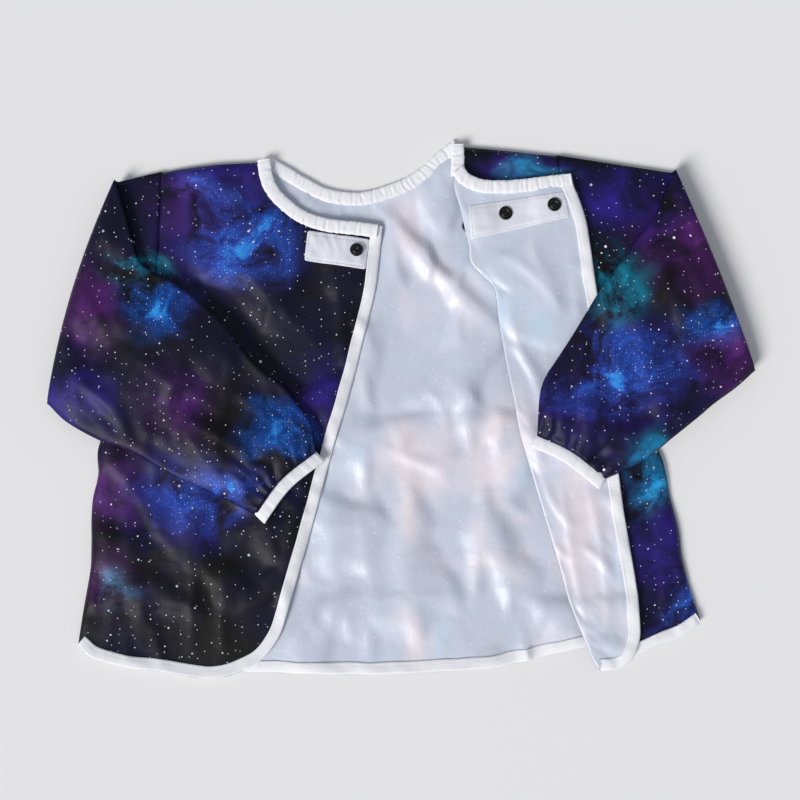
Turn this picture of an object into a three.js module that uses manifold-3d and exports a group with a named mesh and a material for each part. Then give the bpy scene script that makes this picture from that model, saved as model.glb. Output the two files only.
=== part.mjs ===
// Child's artist smock with long sleeves and a back opening, lying face down as if just put down.
// The front panel lies flat on the table.  The left back panel lies closed over it, the right back
// panel is folded open on itself, and both sleeves are folded in across the back.
// Millimetres, +Z up, +Y towards the neck.  Left and right are the wearer's.

import * as THREE from 'three';
import { mergeVertices } from 'three/addons/utils/BufferGeometryUtils.js';
import Module from 'manifold-3d';

// ---- garment sizes ----
const BODY_LENGTH = 463;          // left neck point down to the hem of the front
const CHEST_WIDTH = 504;          // underarm to underarm
const HEM_WIDTH = 563;            // side seam to side seam along the hem
const NECK_WIDTH = 173;           // neck point to neck point
const LEFT_SHOULDER = 93;         // neck point to armhole
const RIGHT_SHOULDER = 90;
const LEFT_UNDERARM_DROP = 253;   // neck point down to the underarm
const RIGHT_UNDERARM_DROP = 276;
const LEFT_HEAD_TOP = 40;         // armhole to the sleeve's fold, along the top of the sleeve
const RIGHT_HEAD_TOP = 105;
const LEFT_HEAD_BOTTOM = 56;      // underarm to the sleeve's fold, along the bottom of the sleeve
const RIGHT_HEAD_BOTTOM = 111;
const LEFT_SLEEVE_LENGTH = 212;   // fold to cuff along the lower edge of the folded sleeve
const RIGHT_SLEEVE_LENGTH = 166;
const LEFT_CUFF_WIDTH = 79;       // cuff lying flat
const RIGHT_CUFF_WIDTH = 73;
const FLAP_TOP_WIDTH = 106;       // fold to back edge of the turned-back right panel, at the neck
const FLAP_HEM_WIDTH = 41;        // the same, at the hem
const FLAP_FOLD_LEAN = 119;       // how far the fold wanders sideways from neck to hem
const LEFT_EDGE_RUN = 123;        // straight from the left neck point to the top of the left back edge

// ---- how the smock happens to lie ----
const RIGHT_NECK_LIFT = 13;       // right neck point above the left one
const BODY_SKEW = 16.5;           // middle of the body to the wearer's right of the middle of the neck
const HEM_SKEW = 9;               // the same again for the hem
const LEFT_SIDE_RISE = 26;        // left end of the hem above its lowest point
const RIGHT_SIDE_RISE = 47;
const LEFT_SHOULDER_ANGLE = 186.3;   // directions in degrees from +X
const RIGHT_SHOULDER_ANGLE = -6.5;
const LEFT_HEAD_TOP_ANGLE = 194;
const RIGHT_HEAD_TOP_ANGLE = -8.7;
const LEFT_HEAD_BOTTOM_ANGLE = 144;
const RIGHT_HEAD_BOTTOM_ANGLE = 40.5;
const LEFT_SLEEVE_ANGLE = -28;
const RIGHT_SLEEVE_ANGLE = 216;
const LEFT_CUFF_ANGLE = 45.5;
const RIGHT_CUFF_ANGLE = 148;
const LEFT_EDGE_ANGLE = -30;
const FLAP_NECK_ANGLE = 8;
const LEFT_PATCH_ANGLE = 8;
const RIGHT_PATCH_ANGLE = 10;
const LEFT_EDGE_LOW = [188, 30];     // from the left end of the hem: where the straight back edge starts
const LEFT_HEM_END = [128, -28];     // and where the hem's curve starts to turn up to it
const FLAP_FOLD_TOP = [-2, -41];     // from the right neck point
const FLAP_FOLD_SAG = 29;            // foot of the fold below the right end of the hem
const FLAP_EDGE_RISE = 36;           // straight stretch of the turned-back edge starts this high
const FLAP_HEM_END = [15, -14];      // from the foot of the fold
const LEFT_HINGE_TOP = [-2, -27];    // from the left neck point
const LEFT_HINGE_LOW = [-73, -16];   // sideways from its top, and below the left end of the hem

// ---- making sizes ----
const CLOTH = 1.2;                // two thin skins of coated cloth with their air
const TAPE = 0.6;                 // one leg of the binding tape
const GAP = 0.3;                  // clearance between sewn pieces
const BINDING_WIDTH = 10.5;       // tape folded over hem and back edges
const CASING_WIDTH = 12;          // gathered tape tunnel round the neck
const ELASTIC_WIDTH = 6;          // band drawn through the tunnels
const CUFF_TAPE_LENGTH = 11;      // cuff tape, measured along the arm
const CUFF_TAPE_WALL = 0.5;
const CUFF_ELASTIC = 0.8;
const BODY_GAP = 7;               // air between front and back panel
const SHOULDER_WRAP = 7;          // how far the front panel turns over the shoulder to its seam
const FOLD_PLAY = 0.4;            // space between the two layers that meet at a fold
const SLEEVE_PLAY = 0.5;          // space under a folded sleeve
const HINGE_LIP = 1.2;            // lips that stand up along a fold and carry it
const LIP_END_SHARE = 0.03;       // share of a sleeve's fold left free of the lip at each end
const FOLD_END_CLEAR = 8;         // lip to tape at the ends of the long folds
const TOOL_REACH = 6;             // how far a cutting tool runs past the edge it trims
const TOOL_OVERRUN = 3;           // and past the ends of that edge
const SEAM_OVERRUN = 4;           // and past the ends of a seam
const BODY_REACH = 40;            // width of the strip of body trimmed off a sleeve head
const TUBE_REACH = 34;            // how far the hollow of a sleeve is run on past both ends

// ---- snaps and their patches ----
const SNAP_DIAMETER = 12.4;
const SNAP_CAP = 1.6;
const SNAP_POST = 3.4;
const SNAP_RING = 3;
const SNAP_RING_DIAMETER = 11;
const SNAP_WELL_DIAMETER = 6.6;
const SNAP_WELL_DEPTH = 1.4;
const STUD_BASE = 1.2;
const STUD_NOSE_DIAMETER = 6;
const LEFT_PATCH_LENGTH = 56;
const RIGHT_PATCH_LENGTH = 85;
const PATCH_WIDTH = 28;
const PATCH_CORNER = 5;
const LEFT_PATCH_INSET = 14.5;    // back edge to patch
const LEFT_STUD_INSET = 9;        // end of the patch to the stud
const OUTER_SNAP_INSET = 9;       // end of the patch to the outer socket
const OUTER_SNAP_LIFT = 1;        // sockets above the middle line of their patch
const SNAP_SPACING = 43.7;
const HIDDEN_SNAP_INSET = 4.5;    // fold to the middle of the third snap
const HIDDEN_SNAP_DROP = 34;      // top of the fold down to the third snap
const HIDDEN_PATCH_HALF = 9;      // scrap of patch under the third snap: half its height
const HIDDEN_PATCH_WIDTH = 12.5;
const HIDDEN_PATCH_INSET = 1;     // fold to that scrap
const HIDDEN_ROOM_SPARE = 1;      // notch in the fold round the third snap: spare at its ends
const HIDDEN_ROOM_DEPTH = 3;      // and how far it goes in from the fold
const RIGHT_PATCH_DROP = 47;      // top of the fold down to the right patch
const RIGHT_PATCH_INSET = 6;      // fold to the right patch
const LEFT_PATCH_DROP = 39;       // top of the left back edge down to the left patch
const CAP_BITE = 0.5;             // post reaches this far into its cap
const DISC_SIDES = 24;

// ---- heights of the layers, from the table up ----
const BACK_Z = CLOTH + BODY_GAP;
const TAPE_OVER = GAP + TAPE;                               // tape and its clearance on one side of a cloth
const BACK_TOP = BACK_Z + CLOTH + TAPE_OVER;
const SLEEVE_HEIGHT = BACK_TOP - GAP;                       // as high as the back it is sewn to
const FLAP_HINGE_Z = BACK_TOP + FOLD_PLAY;
const FLAP_Z = 2 * FLAP_HINGE_Z - BACK_Z - CLOTH;
const FLAP_TOP = FLAP_Z + CLOTH + TAPE_OVER;
const LEFT_HINGE_Z = BACK_TOP + FOLD_PLAY / 2;
const LEFT_SLEEVE_Z = BACK_TOP + SLEEVE_PLAY;
const RIGHT_SLEEVE_Z = FLAP_TOP + FOLD_PLAY;
const RIGHT_SLEEVE_HINGE_Z = (SLEEVE_HEIGHT + RIGHT_SLEEVE_Z) / 2;
const SKY = 60;                                             // above everything, for cuts right through

// ---- plan helpers ----
const wasm = await Module();
wasm.setup();
const { Manifold } = wasm;

const at = (x, y) => new THREE.Vector2(x, y);
const degrees = Math.PI / 180;
const from = (point, length, angle) => at(
  point.x + length * Math.cos(angle * degrees),
  point.y + length * Math.sin(angle * degrees));

// Curve from a to b that bows sideways by the given distances at equal steps (plus = left of the way).
function bow(a, b, bows, steps = 4 * (bows.length + 1)) {
  const along = b.clone().sub(a);
  const side = at(-along.y, along.x).normalize();
  const points = [a];
  bows.forEach((distance, i) => {
    const share = (i + 1) / (bows.length + 1);
    points.push(a.clone().addScaledVector(along, share).addScaledVector(side, distance));
  });
  points.push(b);
  return new THREE.SplineCurve(points).getSpacedPoints(steps);
}

// The same path moved sideways (plus = left of the way).
function shifted(path, distance) {
  return path.map((point, i) => {
    const before = path[Math.max(i - 1, 0)];
    const after = path[Math.min(i + 1, path.length - 1)];
    const way = after.clone().sub(before).normalize();
    return point.clone().add(at(-way.y, way.x).multiplyScalar(distance));
  });
}

// The same path with both ends run on straight.
function lengthened(path, distance) {
  const last = path.length - 1;
  const start = path[0].clone().add(path[0].clone().sub(path[1]).setLength(distance));
  const end = path[last].clone().add(path[last].clone().sub(path[last - 1]).setLength(distance));
  return [start, ...path, end];
}

const joined = (...paths) => paths.flat().filter((point, i, all) =>
  i === 0 || point.distanceTo(all[i - 1]) > 0.05);

const meet = (a, b, share) => a.clone().lerp(b, share);

// ---- solid helpers ----
function solid(geometry) {
  geometry.deleteAttribute('normal');
  geometry.deleteAttribute('uv');
  const merged = mergeVertices(geometry, 1e-4);
  return new Manifold(new wasm.Mesh({
    numProp: 3,
    vertProperties: new Float32Array(merged.attributes.position.array),
    triVerts: new Uint32Array(merged.index.array),
  }));
}

function plate(outline, low, high) {
  const points = joined(outline);
  if (points[0].distanceTo(points[points.length - 1]) < 0.05) points.pop();
  const geometry = new THREE.ExtrudeGeometry(new THREE.Shape(points), {
    depth: high - low, bevelEnabled: false,
  });
  geometry.translate(0, 0, low);
  return solid(geometry);
}

const band = (path, near, far, low, high) =>
  plate([...shifted(path, near), ...shifted(path, far).reverse()], low, high);

function disc(centre, diameter, oneEnd, otherEnd) {
  const geometry = new THREE.CylinderGeometry(
    diameter / 2, diameter / 2, Math.abs(otherEnd - oneEnd), DISC_SIDES);
  geometry.rotateX(Math.PI / 2);
  geometry.translate(centre.x, centre.y, (oneEnd + otherEnd) / 2);
  return solid(geometry);
}

// Everything on the left (or right) of the line a-b, kept GAP away from it.
function beside(a, b, left) {
  const reach = 1000;
  const path = lengthened([a, b], reach);
  const near = left ? GAP : -GAP;
  return band(path, near, left ? reach : -reach, -SKY, SKY);
}

const cut = (body, ...tools) => tools.reduce((rest, tool) => rest.subtract(tool), body);

// ---- landmarks of the garment as it lies ----
const off = (point, [x, y]) => at(point.x + x, point.y + y);
const leftNeck = at(-NECK_WIDTH / 2, 0);
const rightNeck = at(NECK_WIDTH / 2, RIGHT_NECK_LIFT);
const leftArmhole = from(leftNeck, LEFT_SHOULDER, LEFT_SHOULDER_ANGLE);
const rightArmhole = from(rightNeck, RIGHT_SHOULDER, RIGHT_SHOULDER_ANGLE);
const leftUnderarm = at(BODY_SKEW - CHEST_WIDTH / 2, -LEFT_UNDERARM_DROP);
const rightUnderarm = at(BODY_SKEW + CHEST_WIDTH / 2, rightNeck.y - RIGHT_UNDERARM_DROP);
const leftHem = at(BODY_SKEW + HEM_SKEW - HEM_WIDTH / 2, LEFT_SIDE_RISE - BODY_LENGTH);
const rightHem = at(BODY_SKEW + HEM_SKEW + HEM_WIDTH / 2, RIGHT_SIDE_RISE - BODY_LENGTH);
const leftFoldTop = from(leftArmhole, LEFT_HEAD_TOP, LEFT_HEAD_TOP_ANGLE);
const rightFoldTop = from(rightArmhole, RIGHT_HEAD_TOP, RIGHT_HEAD_TOP_ANGLE);
const leftElbow = from(leftUnderarm, LEFT_HEAD_BOTTOM, LEFT_HEAD_BOTTOM_ANGLE);
const rightElbow = from(rightUnderarm, RIGHT_HEAD_BOTTOM, RIGHT_HEAD_BOTTOM_ANGLE);
const leftCuffLow = from(leftElbow, LEFT_SLEEVE_LENGTH, LEFT_SLEEVE_ANGLE);
const leftCuffHigh = from(leftCuffLow, LEFT_CUFF_WIDTH, LEFT_CUFF_ANGLE);
const rightCuffLow = from(rightElbow, RIGHT_SLEEVE_LENGTH, RIGHT_SLEEVE_ANGLE);
const rightCuffHigh = from(rightCuffLow, RIGHT_CUFF_WIDTH, RIGHT_CUFF_ANGLE);
const leftEdgeTop = from(leftNeck, LEFT_EDGE_RUN, LEFT_EDGE_ANGLE);
const leftEdgeLow = off(leftHem, LEFT_EDGE_LOW);
const leftHemEnd = off(leftHem, LEFT_HEM_END);
const flapFoldTop = off(rightNeck, FLAP_FOLD_TOP);
const flapFoldLow = at(flapFoldTop.x + FLAP_FOLD_LEAN, rightHem.y - FLAP_FOLD_SAG);
const flapEdgeTop = from(flapFoldTop, FLAP_TOP_WIDTH, FLAP_NECK_ANGLE);
const flapEdgeLow = off(flapFoldLow, [FLAP_HEM_WIDTH, FLAP_EDGE_RISE]);
const flapHemEnd = off(flapFoldLow, FLAP_HEM_END);
const leftHingeTop = off(leftNeck, LEFT_HINGE_TOP);
const leftHingeLow = at(leftHingeTop.x + LEFT_HINGE_LOW[0], leftHem.y + LEFT_HINGE_LOW[1]);

// ---- seams and edges, each walked with the panel on the left of the way where it matters ----
const frontNeck = bow(leftNeck, rightNeck, [-21, -36, -38, -34, -21], 28);
const leftBackNeck = bow(leftNeck, leftEdgeTop, [-16, -23, -23, -17, -9], 20);
const flapNeck = bow(off(flapFoldTop, [-2, 13]), flapEdgeTop, [-10, -10, -5], 14);
const rightShoulderNeck = bow(rightNeck, off(flapFoldTop, [2, 6]), [-4], 6);
const leftShoulderEdge = bow(leftNeck, leftArmhole, [2.5]);
const rightShoulderEdge = bow(rightNeck, rightArmhole, [1.5]);
const leftArmholeSeam = bow(leftArmhole, leftUnderarm, [12, 16, 8], 10);
const rightArmholeSeam = bow(rightArmhole, rightUnderarm, [-16, -24, -14], 10);
const leftSide = bow(leftUnderarm, leftHem, [-1, 1, 4], 10);
const rightSide = bow(rightUnderarm, rightHem, [-1, -1, -4], 10);
const frontHem = bow(leftHem, rightHem, [-17, -27, -35, -33, -20], 28);
const leftEdge = joined(
  bow(leftHem, leftHemEnd, [-5, -4], 8),
  bow(leftHemEnd, leftEdgeLow, [-11, -14, -9], 10),
  bow(leftEdgeLow, leftEdgeTop, [-1.5, -5.5, -9, -5], 14));
const flapEdge = joined(
  bow(flapHemEnd, flapEdgeLow, [-9, -11, -6], 10),
  bow(flapEdgeLow, flapEdgeTop, [-1, -1, -1.5, -2.5, -4.8], 14));
const rightSideHem = bow(flapFoldLow, rightHem, [-3]);

// ---- pieces shared by several parts ----
// A cloth edge bound with tape: a U round the edge, on the left of the way.
function binding(edge, low) {
  const bottom = low - TAPE_OVER;
  const top = low + CLOTH + TAPE_OVER;
  const tape = band(edge, 0, BINDING_WIDTH, bottom, top);
  const slot = band(
    lengthened(edge, TOOL_OVERRUN), TAPE, BINDING_WIDTH + TOOL_OVERRUN, bottom + TAPE, top - TAPE);
  return cut(tape, slot);
}

const boundEdgeRoom = (edge) =>
  band(lengthened(edge, TOOL_OVERRUN), -TOOL_REACH, TAPE + GAP, -SKY, SKY);
const tapeRoom = (edge) =>
  band(lengthened(edge, TOOL_REACH), -TOOL_REACH, BINDING_WIDTH + GAP, -SKY, SKY);

// A flat tape tunnel along the middle line of the neck edge, open at both ends.
function casing(path, low) {
  const half = CASING_WIDTH / 2;
  const height = CLOTH + 2 * TAPE_OVER;
  const tape = band(path, -half, half, low, low + height);
  const tunnel = band(
    lengthened(path, TOOL_REACH), TAPE - half, half - TAPE, low + TAPE, low + height - TAPE);
  return cut(tape, tunnel);
}

const elastic = (path, low) =>
  band(path, -ELASTIC_WIDTH / 2, ELASTIC_WIDTH / 2, low + TAPE_OVER, low + TAPE_OVER + CLOTH);

const casingRoom = (path, spare = 0, low = -SKY) =>
  band(lengthened(path, 0.5 + spare), -CASING_WIDTH / 2 - GAP, CASING_WIDTH / 2 + GAP, low, SKY);

// A sleeve length lying flat: two skins joined along both long edges, open at both ends.
function flatTube(outline, upper, lower, low) {
  const outside = plate(outline, low, low + SLEEVE_HEIGHT);
  const inside = plate([
    ...shifted(lengthened(upper, TUBE_REACH), -CLOTH),
    ...shifted(lengthened(lower, TUBE_REACH), CLOTH).reverse(),
  ], low + CLOTH, low + SLEEVE_HEIGHT - CLOTH);
  return cut(outside, inside);
}

// Block standing off a cuff line, between two distances along the arm, shrunk all round by an inset.
function cuffBlock(cuffLow, cuffHigh, away, near, far, inset, low) {
  const width = cuffHigh.clone().sub(cuffLow).normalize();
  const start = cuffLow.clone().addScaledVector(width, inset);
  const end = cuffHigh.clone().addScaledVector(width, -inset);
  const move = (point, distance) => point.clone().addScaledVector(away, distance);
  return plate([move(start, near), move(start, far), move(end, far), move(end, near)],
    low + inset, low + SLEEVE_HEIGHT - inset);
}

function cuff(cuffLow, cuffHigh, low) {
  const way = cuffHigh.clone().sub(cuffLow).normalize();
  const turn = Math.sign(cuffHigh.x - cuffLow.x);
  const away = at(way.y, -way.x).multiplyScalar(turn);
  const block = (near, far, inset) => cuffBlock(cuffLow, cuffHigh, away, near, far, inset, low);
  const slack = CUFF_TAPE_WALL / 2;                         // play of the elastic in its tape
  const elasticOut = CUFF_TAPE_WALL + slack;
  const elasticIn = elasticOut + CUFF_ELASTIC;
  const hole = elasticIn + slack + CUFF_TAPE_WALL;
  const end = CUFF_TAPE_LENGTH;
  const groove = cut(block(-1, end - TAPE, CUFF_TAPE_WALL), block(-2, end + 1, hole - CUFF_TAPE_WALL));
  return {
    tape: cut(block(GAP, end, 0), block(-2, end + 1, hole), groove),
    band: cut(block(1.5, end - 1.5, elasticOut), block(-1, end + 1, elasticIn)),
  };
}

// Snap cap with its post.  up = 1 when the post points up.
function snapCap(centre, foot, length, up) {
  const cap = disc(centre, SNAP_DIAMETER, foot, foot - up * SNAP_CAP);
  return cap.add(disc(centre, SNAP_POST, foot - up * CAP_BITE, foot + up * length));
}

const postRoom = (centre) => disc(centre, SNAP_POST + 2 * GAP, -SKY, SKY);

function snapSocket(centre, foot, up) {
  const mouth = foot + up * SNAP_RING;
  const ring = disc(centre, SNAP_RING_DIAMETER, foot, mouth);
  const well = disc(centre, SNAP_WELL_DIAMETER, mouth - up * SNAP_WELL_DEPTH, mouth + up);
  return cut(ring, well, postRoom(centre));
}

function snapStud(centre, foot) {
  const base = disc(centre, SNAP_RING_DIAMETER, foot, foot + STUD_BASE);
  const nose = disc(centre, STUD_NOSE_DIAMETER, foot + STUD_BASE / 2, foot + SNAP_RING);
  return cut(base.add(nose), postRoom(centre));
}

// Patch with rounded corners, laid out from a corner along one direction.
function patch(corner, length, angle, low) {
  const r = PATCH_CORNER;
  const w = PATCH_WIDTH;
  const shape = new THREE.Shape();
  shape.moveTo(r, 0);
  shape.lineTo(length - r, 0);
  shape.absarc(length - r, r, r, -Math.PI / 2, 0);
  shape.absarc(length - r, w - r, r, 0, Math.PI / 2);
  shape.absarc(r, w - r, r, Math.PI / 2, Math.PI);
  shape.absarc(r, r, r, Math.PI, 1.5 * Math.PI);
  const outline = shape.getPoints(4).map((point) =>
    point.rotateAround(at(0, 0), angle * degrees).add(corner));
  return plate(outline, low, low + TAPE);
}

// ---- front panel ----
function frontPanel() {
  const outline = joined(frontNeck, rightShoulderEdge, rightArmholeSeam, rightSide,
    [...frontHem].reverse(), [...leftSide].reverse(), [...leftArmholeSeam].reverse(),
    [...leftShoulderEdge].reverse());
  const wrap = (edge, side) => {
    const inside = side * SHOULDER_WRAP;
    const fold = band(edge, 0, side * CLOTH, 0, BACK_Z + CLOTH);
    return fold.add(band(edge, 0, inside, BACK_Z, BACK_Z + CLOTH));
  };
  const sheet = plate(outline, 0, CLOTH);
  const cloth = cut(sheet, boundEdgeRoom(frontHem))
    .add(wrap(leftShoulderEdge, 1))
    .add(wrap(rightShoulderEdge, -1));
  return cut(cloth, casingRoom(frontNeck), casingRoom(leftBackNeck, 0, BODY_GAP / 2),
    casingRoom(rightShoulderNeck, 0, BODY_GAP / 2));
}

function frontHemBinding() {
  const top = CLOTH + TAPE_OVER;
  const tape = band(frontHem, 0, BINDING_WIDTH, 0, top);
  const room = band(
    lengthened(frontHem, TOOL_OVERRUN), TAPE, BINDING_WIDTH + TOOL_OVERRUN, -TAPE, top - TAPE);
  return cut(tape, room);
}

// ---- back panels ----
// Seam allowance that turns down from a back panel to just above the front panel.
function seamWall(edge, side) {
  const near = side * GAP;
  const hem = CLOTH + TAPE_OVER + GAP;
  return band(edge, near, side * (GAP + CLOTH), hem, BACK_Z + CLOTH);
}

function leftBack() {
  const outline = joined(leftEdge, [...leftBackNeck].reverse(), leftShoulderEdge, leftArmholeSeam, leftSide);
  const wrapRoom = band(
    lengthened(leftShoulderEdge, SEAM_OVERRUN), -TOOL_REACH, SHOULDER_WRAP + GAP, -SKY, SKY);
  const armRoom = band(lengthened(leftArmholeSeam, 1), -TOOL_REACH, 0, -SKY, SKY);
  const sheet = plate(outline, BACK_Z, BACK_Z + CLOTH).add(cut(seamWall(leftSide, 1), tapeRoom(leftEdge)));
  return cut(sheet, boundEdgeRoom(leftEdge), casingRoom(leftBackNeck, SEAM_OVERRUN), wrapRoom, armRoom);
}

const leftSideOnly = beside(leftHingeTop, leftHingeLow, false);
const leftFlapOnly = beside(leftHingeTop, leftHingeLow, true);

// Stretch of a fold that stays clear of the bindings and casings at its ends.
function foldStretch(top, low) {
  const length = top.distanceTo(low);
  const clear = BINDING_WIDTH + FOLD_END_CLEAR;
  return [meet(top, low, clear / length), meet(top, low, 1 - clear / length)];
}

function leftHingeLip(side) {
  const [top, low] = foldStretch(leftHingeTop, leftHingeLow);
  const out = side * (GAP + HINGE_LIP);
  return band([top, low], side * GAP, out, BACK_Z, LEFT_HINGE_Z - FOLD_PLAY / 2);
}

const leftPatchCorner = off(leftEdgeTop, [-LEFT_PATCH_INSET - LEFT_PATCH_LENGTH, -LEFT_PATCH_DROP]);
const leftStudCentre = from(from(leftPatchCorner, LEFT_PATCH_LENGTH - LEFT_STUD_INSET, LEFT_PATCH_ANGLE),
  PATCH_WIDTH / 2, LEFT_PATCH_ANGLE + 90);

function leftBackSide() {
  return leftBack().intersect(leftSideOnly).add(leftHingeLip(-1));
}

function leftBackFlap() {
  return cut(leftBack().intersect(leftFlapOnly).add(leftHingeLip(1)), postRoom(leftStudCentre));
}

const foldPath = [flapFoldTop, flapFoldLow];
const rightOfFold = beside(flapFoldTop, flapFoldLow, true);
const foldWay = flapFoldLow.clone().sub(flapFoldTop).normalize();
const foldOut = at(-foldWay.y, foldWay.x);
const byTheFold = (drop, inset) =>
  flapFoldTop.clone().addScaledVector(foldWay, drop).addScaledVector(foldOut, inset);
const rightPatchCorner = byTheFold(RIGHT_PATCH_DROP, RIGHT_PATCH_INSET);
const outerSnap = from(from(rightPatchCorner, RIGHT_PATCH_LENGTH - OUTER_SNAP_INSET, RIGHT_PATCH_ANGLE),
  PATCH_WIDTH / 2 + OUTER_SNAP_LIFT, RIGHT_PATCH_ANGLE + 90);
const innerSnap = from(outerSnap, SNAP_SPACING, RIGHT_PATCH_ANGLE + 180);
const hiddenSnap = byTheFold(HIDDEN_SNAP_DROP, HIDDEN_SNAP_INSET);

// Room at the fold for the third snap, whose rim pokes out past it.
function hiddenSnapRoom(low) {
  const half = SNAP_DIAMETER / 2 + HIDDEN_ROOM_SPARE;
  const path = [byTheFold(HIDDEN_SNAP_DROP - half, 0), byTheFold(HIDDEN_SNAP_DROP + half, 0)];
  return band(path, -TOOL_REACH, HIDDEN_ROOM_DEPTH, low, SKY);
}

function foldLip(low, high) {
  const [top, bottom] = foldStretch(flapFoldTop, flapFoldLow);
  return band([top, bottom], GAP, GAP + HINGE_LIP, low, high);
}

function rightBackSide() {
  const outline = joined([flapFoldTop], [...rightShoulderNeck].reverse(), rightShoulderEdge,
    rightArmholeSeam, rightSide, [...rightSideHem].reverse());
  const wrapRoom = band(
    lengthened(rightShoulderEdge, SEAM_OVERRUN), TOOL_REACH, -SHOULDER_WRAP - GAP, -SKY, SKY);
  const armRoom = band(lengthened(rightArmholeSeam, 1), TOOL_REACH, 0, -SKY, SKY);
  const wall = cut(seamWall(rightSide, -1), tapeRoom(rightSideHem));
  const sheet = cut(plate(outline, BACK_Z, BACK_Z + CLOTH).add(wall),
    boundEdgeRoom(rightSideHem), casingRoom(rightShoulderNeck), wrapRoom, armRoom);
  const lip = foldLip(BACK_Z, FLAP_HINGE_Z - FOLD_PLAY / 2);
  return cut(sheet.intersect(rightOfFold).add(lip), hiddenSnapRoom(BACK_Z + CLOTH), postRoom(hiddenSnap));
}

function rightBackFlap() {
  const outline = joined(flapEdge, [...flapNeck].reverse(), foldPath);
  const sheet = cut(
    plate(outline, FLAP_Z, FLAP_Z + CLOTH), boundEdgeRoom(flapEdge), casingRoom(flapNeck, TOOL_OVERRUN));
  const lip = foldLip(FLAP_HINGE_Z + FOLD_PLAY / 2, FLAP_Z + CLOTH);
  const panel = sheet.intersect(rightOfFold).add(lip);
  return cut(panel, hiddenSnapRoom(-SKY), postRoom(outerSnap), postRoom(innerSnap));
}

// ---- sleeves ----
function sleeveHead(armholeSeam, armhole, underarm, foldTop, elbow, left) {
  const upper = [armhole, foldTop];
  const lower = [underarm, elbow];
  const outline = joined(armholeSeam, [elbow, foldTop]);
  const side = left ? 1 : -1;
  const skins = left
    ? flatTube(outline, [...upper].reverse(), [...lower].reverse(), 0)
    : flatTube(outline, upper, lower, 0);
  const bodyRoom = band(lengthened(armholeSeam, TOOL_OVERRUN), -2 * side * GAP, side * BODY_REACH, -SKY, SKY);
  return cut(skins, bodyRoom).intersect(beside(foldTop, elbow, left));
}

function leftSleeveHead() {
  return sleeveHead(leftArmholeSeam, leftArmhole, leftUnderarm, leftFoldTop, leftElbow, true);
}

function rightSleeveHead() {
  const head = sleeveHead(rightArmholeSeam, rightArmhole, rightUnderarm, rightFoldTop, rightElbow, false);
  return head.add(sleeveLip(SLEEVE_HEIGHT - CLOTH, RIGHT_SLEEVE_HINGE_Z - FOLD_PLAY / 2));
}

// The upper sleeve layer on the right bridges the turned-back panel, so its fold stands taller.
function sleeveLip(low, high) {
  const ends = [LIP_END_SHARE, 1 - LIP_END_SHARE].map((share) => meet(rightFoldTop, rightElbow, share));
  return band(ends, -GAP, -GAP - HINGE_LIP, low, high);
}

const leftSleeveUpper = bow(leftFoldTop, leftCuffHigh, [-22, -14, -3, 3, 8], 18);
const leftSleeveLower = bow(leftElbow, leftCuffLow, [-7, -4, -3], 10);
const rightSleeveUpper = bow(rightFoldTop, rightCuffHigh, [-1, -10, -15], 14);
const rightSleeveLower = bow(rightElbow, rightCuffLow, [3, 5, 6], 10);

function leftSleeve() {
  const outline = joined(leftSleeveUpper, [...leftSleeveLower].reverse());
  return flatTube(outline, leftSleeveUpper, leftSleeveLower, LEFT_SLEEVE_Z)
    .intersect(beside(leftFoldTop, leftElbow, true));
}

function rightSleeve() {
  const outline = joined(rightSleeveLower, [...rightSleeveUpper].reverse());
  return flatTube(outline, rightSleeveLower, rightSleeveUpper, RIGHT_SLEEVE_Z)
    .intersect(beside(rightFoldTop, rightElbow, false))
    .add(sleeveLip(RIGHT_SLEEVE_HINGE_Z + FOLD_PLAY / 2, RIGHT_SLEEVE_Z + CLOTH));
}

// ---- neck tunnels ----
const neckLow = BACK_Z - TAPE_OVER;
const flapNeckLow = FLAP_Z - TAPE_OVER;
const neckPieces = {
  front: (make) => make(frontNeck, 0),
  left: (make) => cut(make(leftBackNeck, neckLow), tapeRoom(leftEdge)),
  shoulder: (make) => make(rightShoulderNeck, neckLow).intersect(rightOfFold),
  flap: (make) => cut(make(flapNeck, flapNeckLow), tapeRoom(flapEdge)).intersect(rightOfFold),
};

// ---- assembly ----
const group = new THREE.Group();
group.name = 'artist_smock';

function addPiece(name, body) {
  const mesh = body.getMesh();
  const geometry = new THREE.BufferGeometry();
  geometry.setAttribute('position', new THREE.BufferAttribute(new Float32Array(mesh.vertProperties), 3));
  geometry.setIndex(new THREE.BufferAttribute(new Uint32Array(mesh.triVerts), 1));
  geometry.computeVertexNormals();
  const piece = new THREE.Mesh(geometry, new THREE.MeshStandardMaterial());
  piece.name = name;
  group.add(piece);
}

addPiece('front_panel', frontPanel());
addPiece('front_hem_binding', frontHemBinding());
addPiece('front_neck_casing', neckPieces.front(casing));
addPiece('front_neck_elastic', neckPieces.front(elastic));

addPiece('left_back_side', leftBackSide());
addPiece('left_side_hem_binding', binding(leftEdge, BACK_Z).intersect(leftSideOnly));
addPiece('left_shoulder_casing', neckPieces.left(casing).intersect(leftSideOnly));
addPiece('left_shoulder_elastic', neckPieces.left(elastic).intersect(leftSideOnly));
addPiece('left_sleeve_head', leftSleeveHead());

addPiece('right_back_side', rightBackSide());
addPiece('right_side_hem_binding', binding(rightSideHem, BACK_Z).intersect(rightOfFold));
addPiece('right_shoulder_casing', neckPieces.shoulder(casing));
addPiece('right_shoulder_elastic', neckPieces.shoulder(elastic));
addPiece('right_sleeve_head', rightSleeveHead());

addPiece('left_back_panel', leftBackFlap());
addPiece('left_edge_binding', binding(leftEdge, BACK_Z).intersect(leftFlapOnly));
addPiece('left_neck_casing', neckPieces.left(casing).intersect(leftFlapOnly));
addPiece('left_neck_elastic', neckPieces.left(elastic).intersect(leftFlapOnly));

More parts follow.
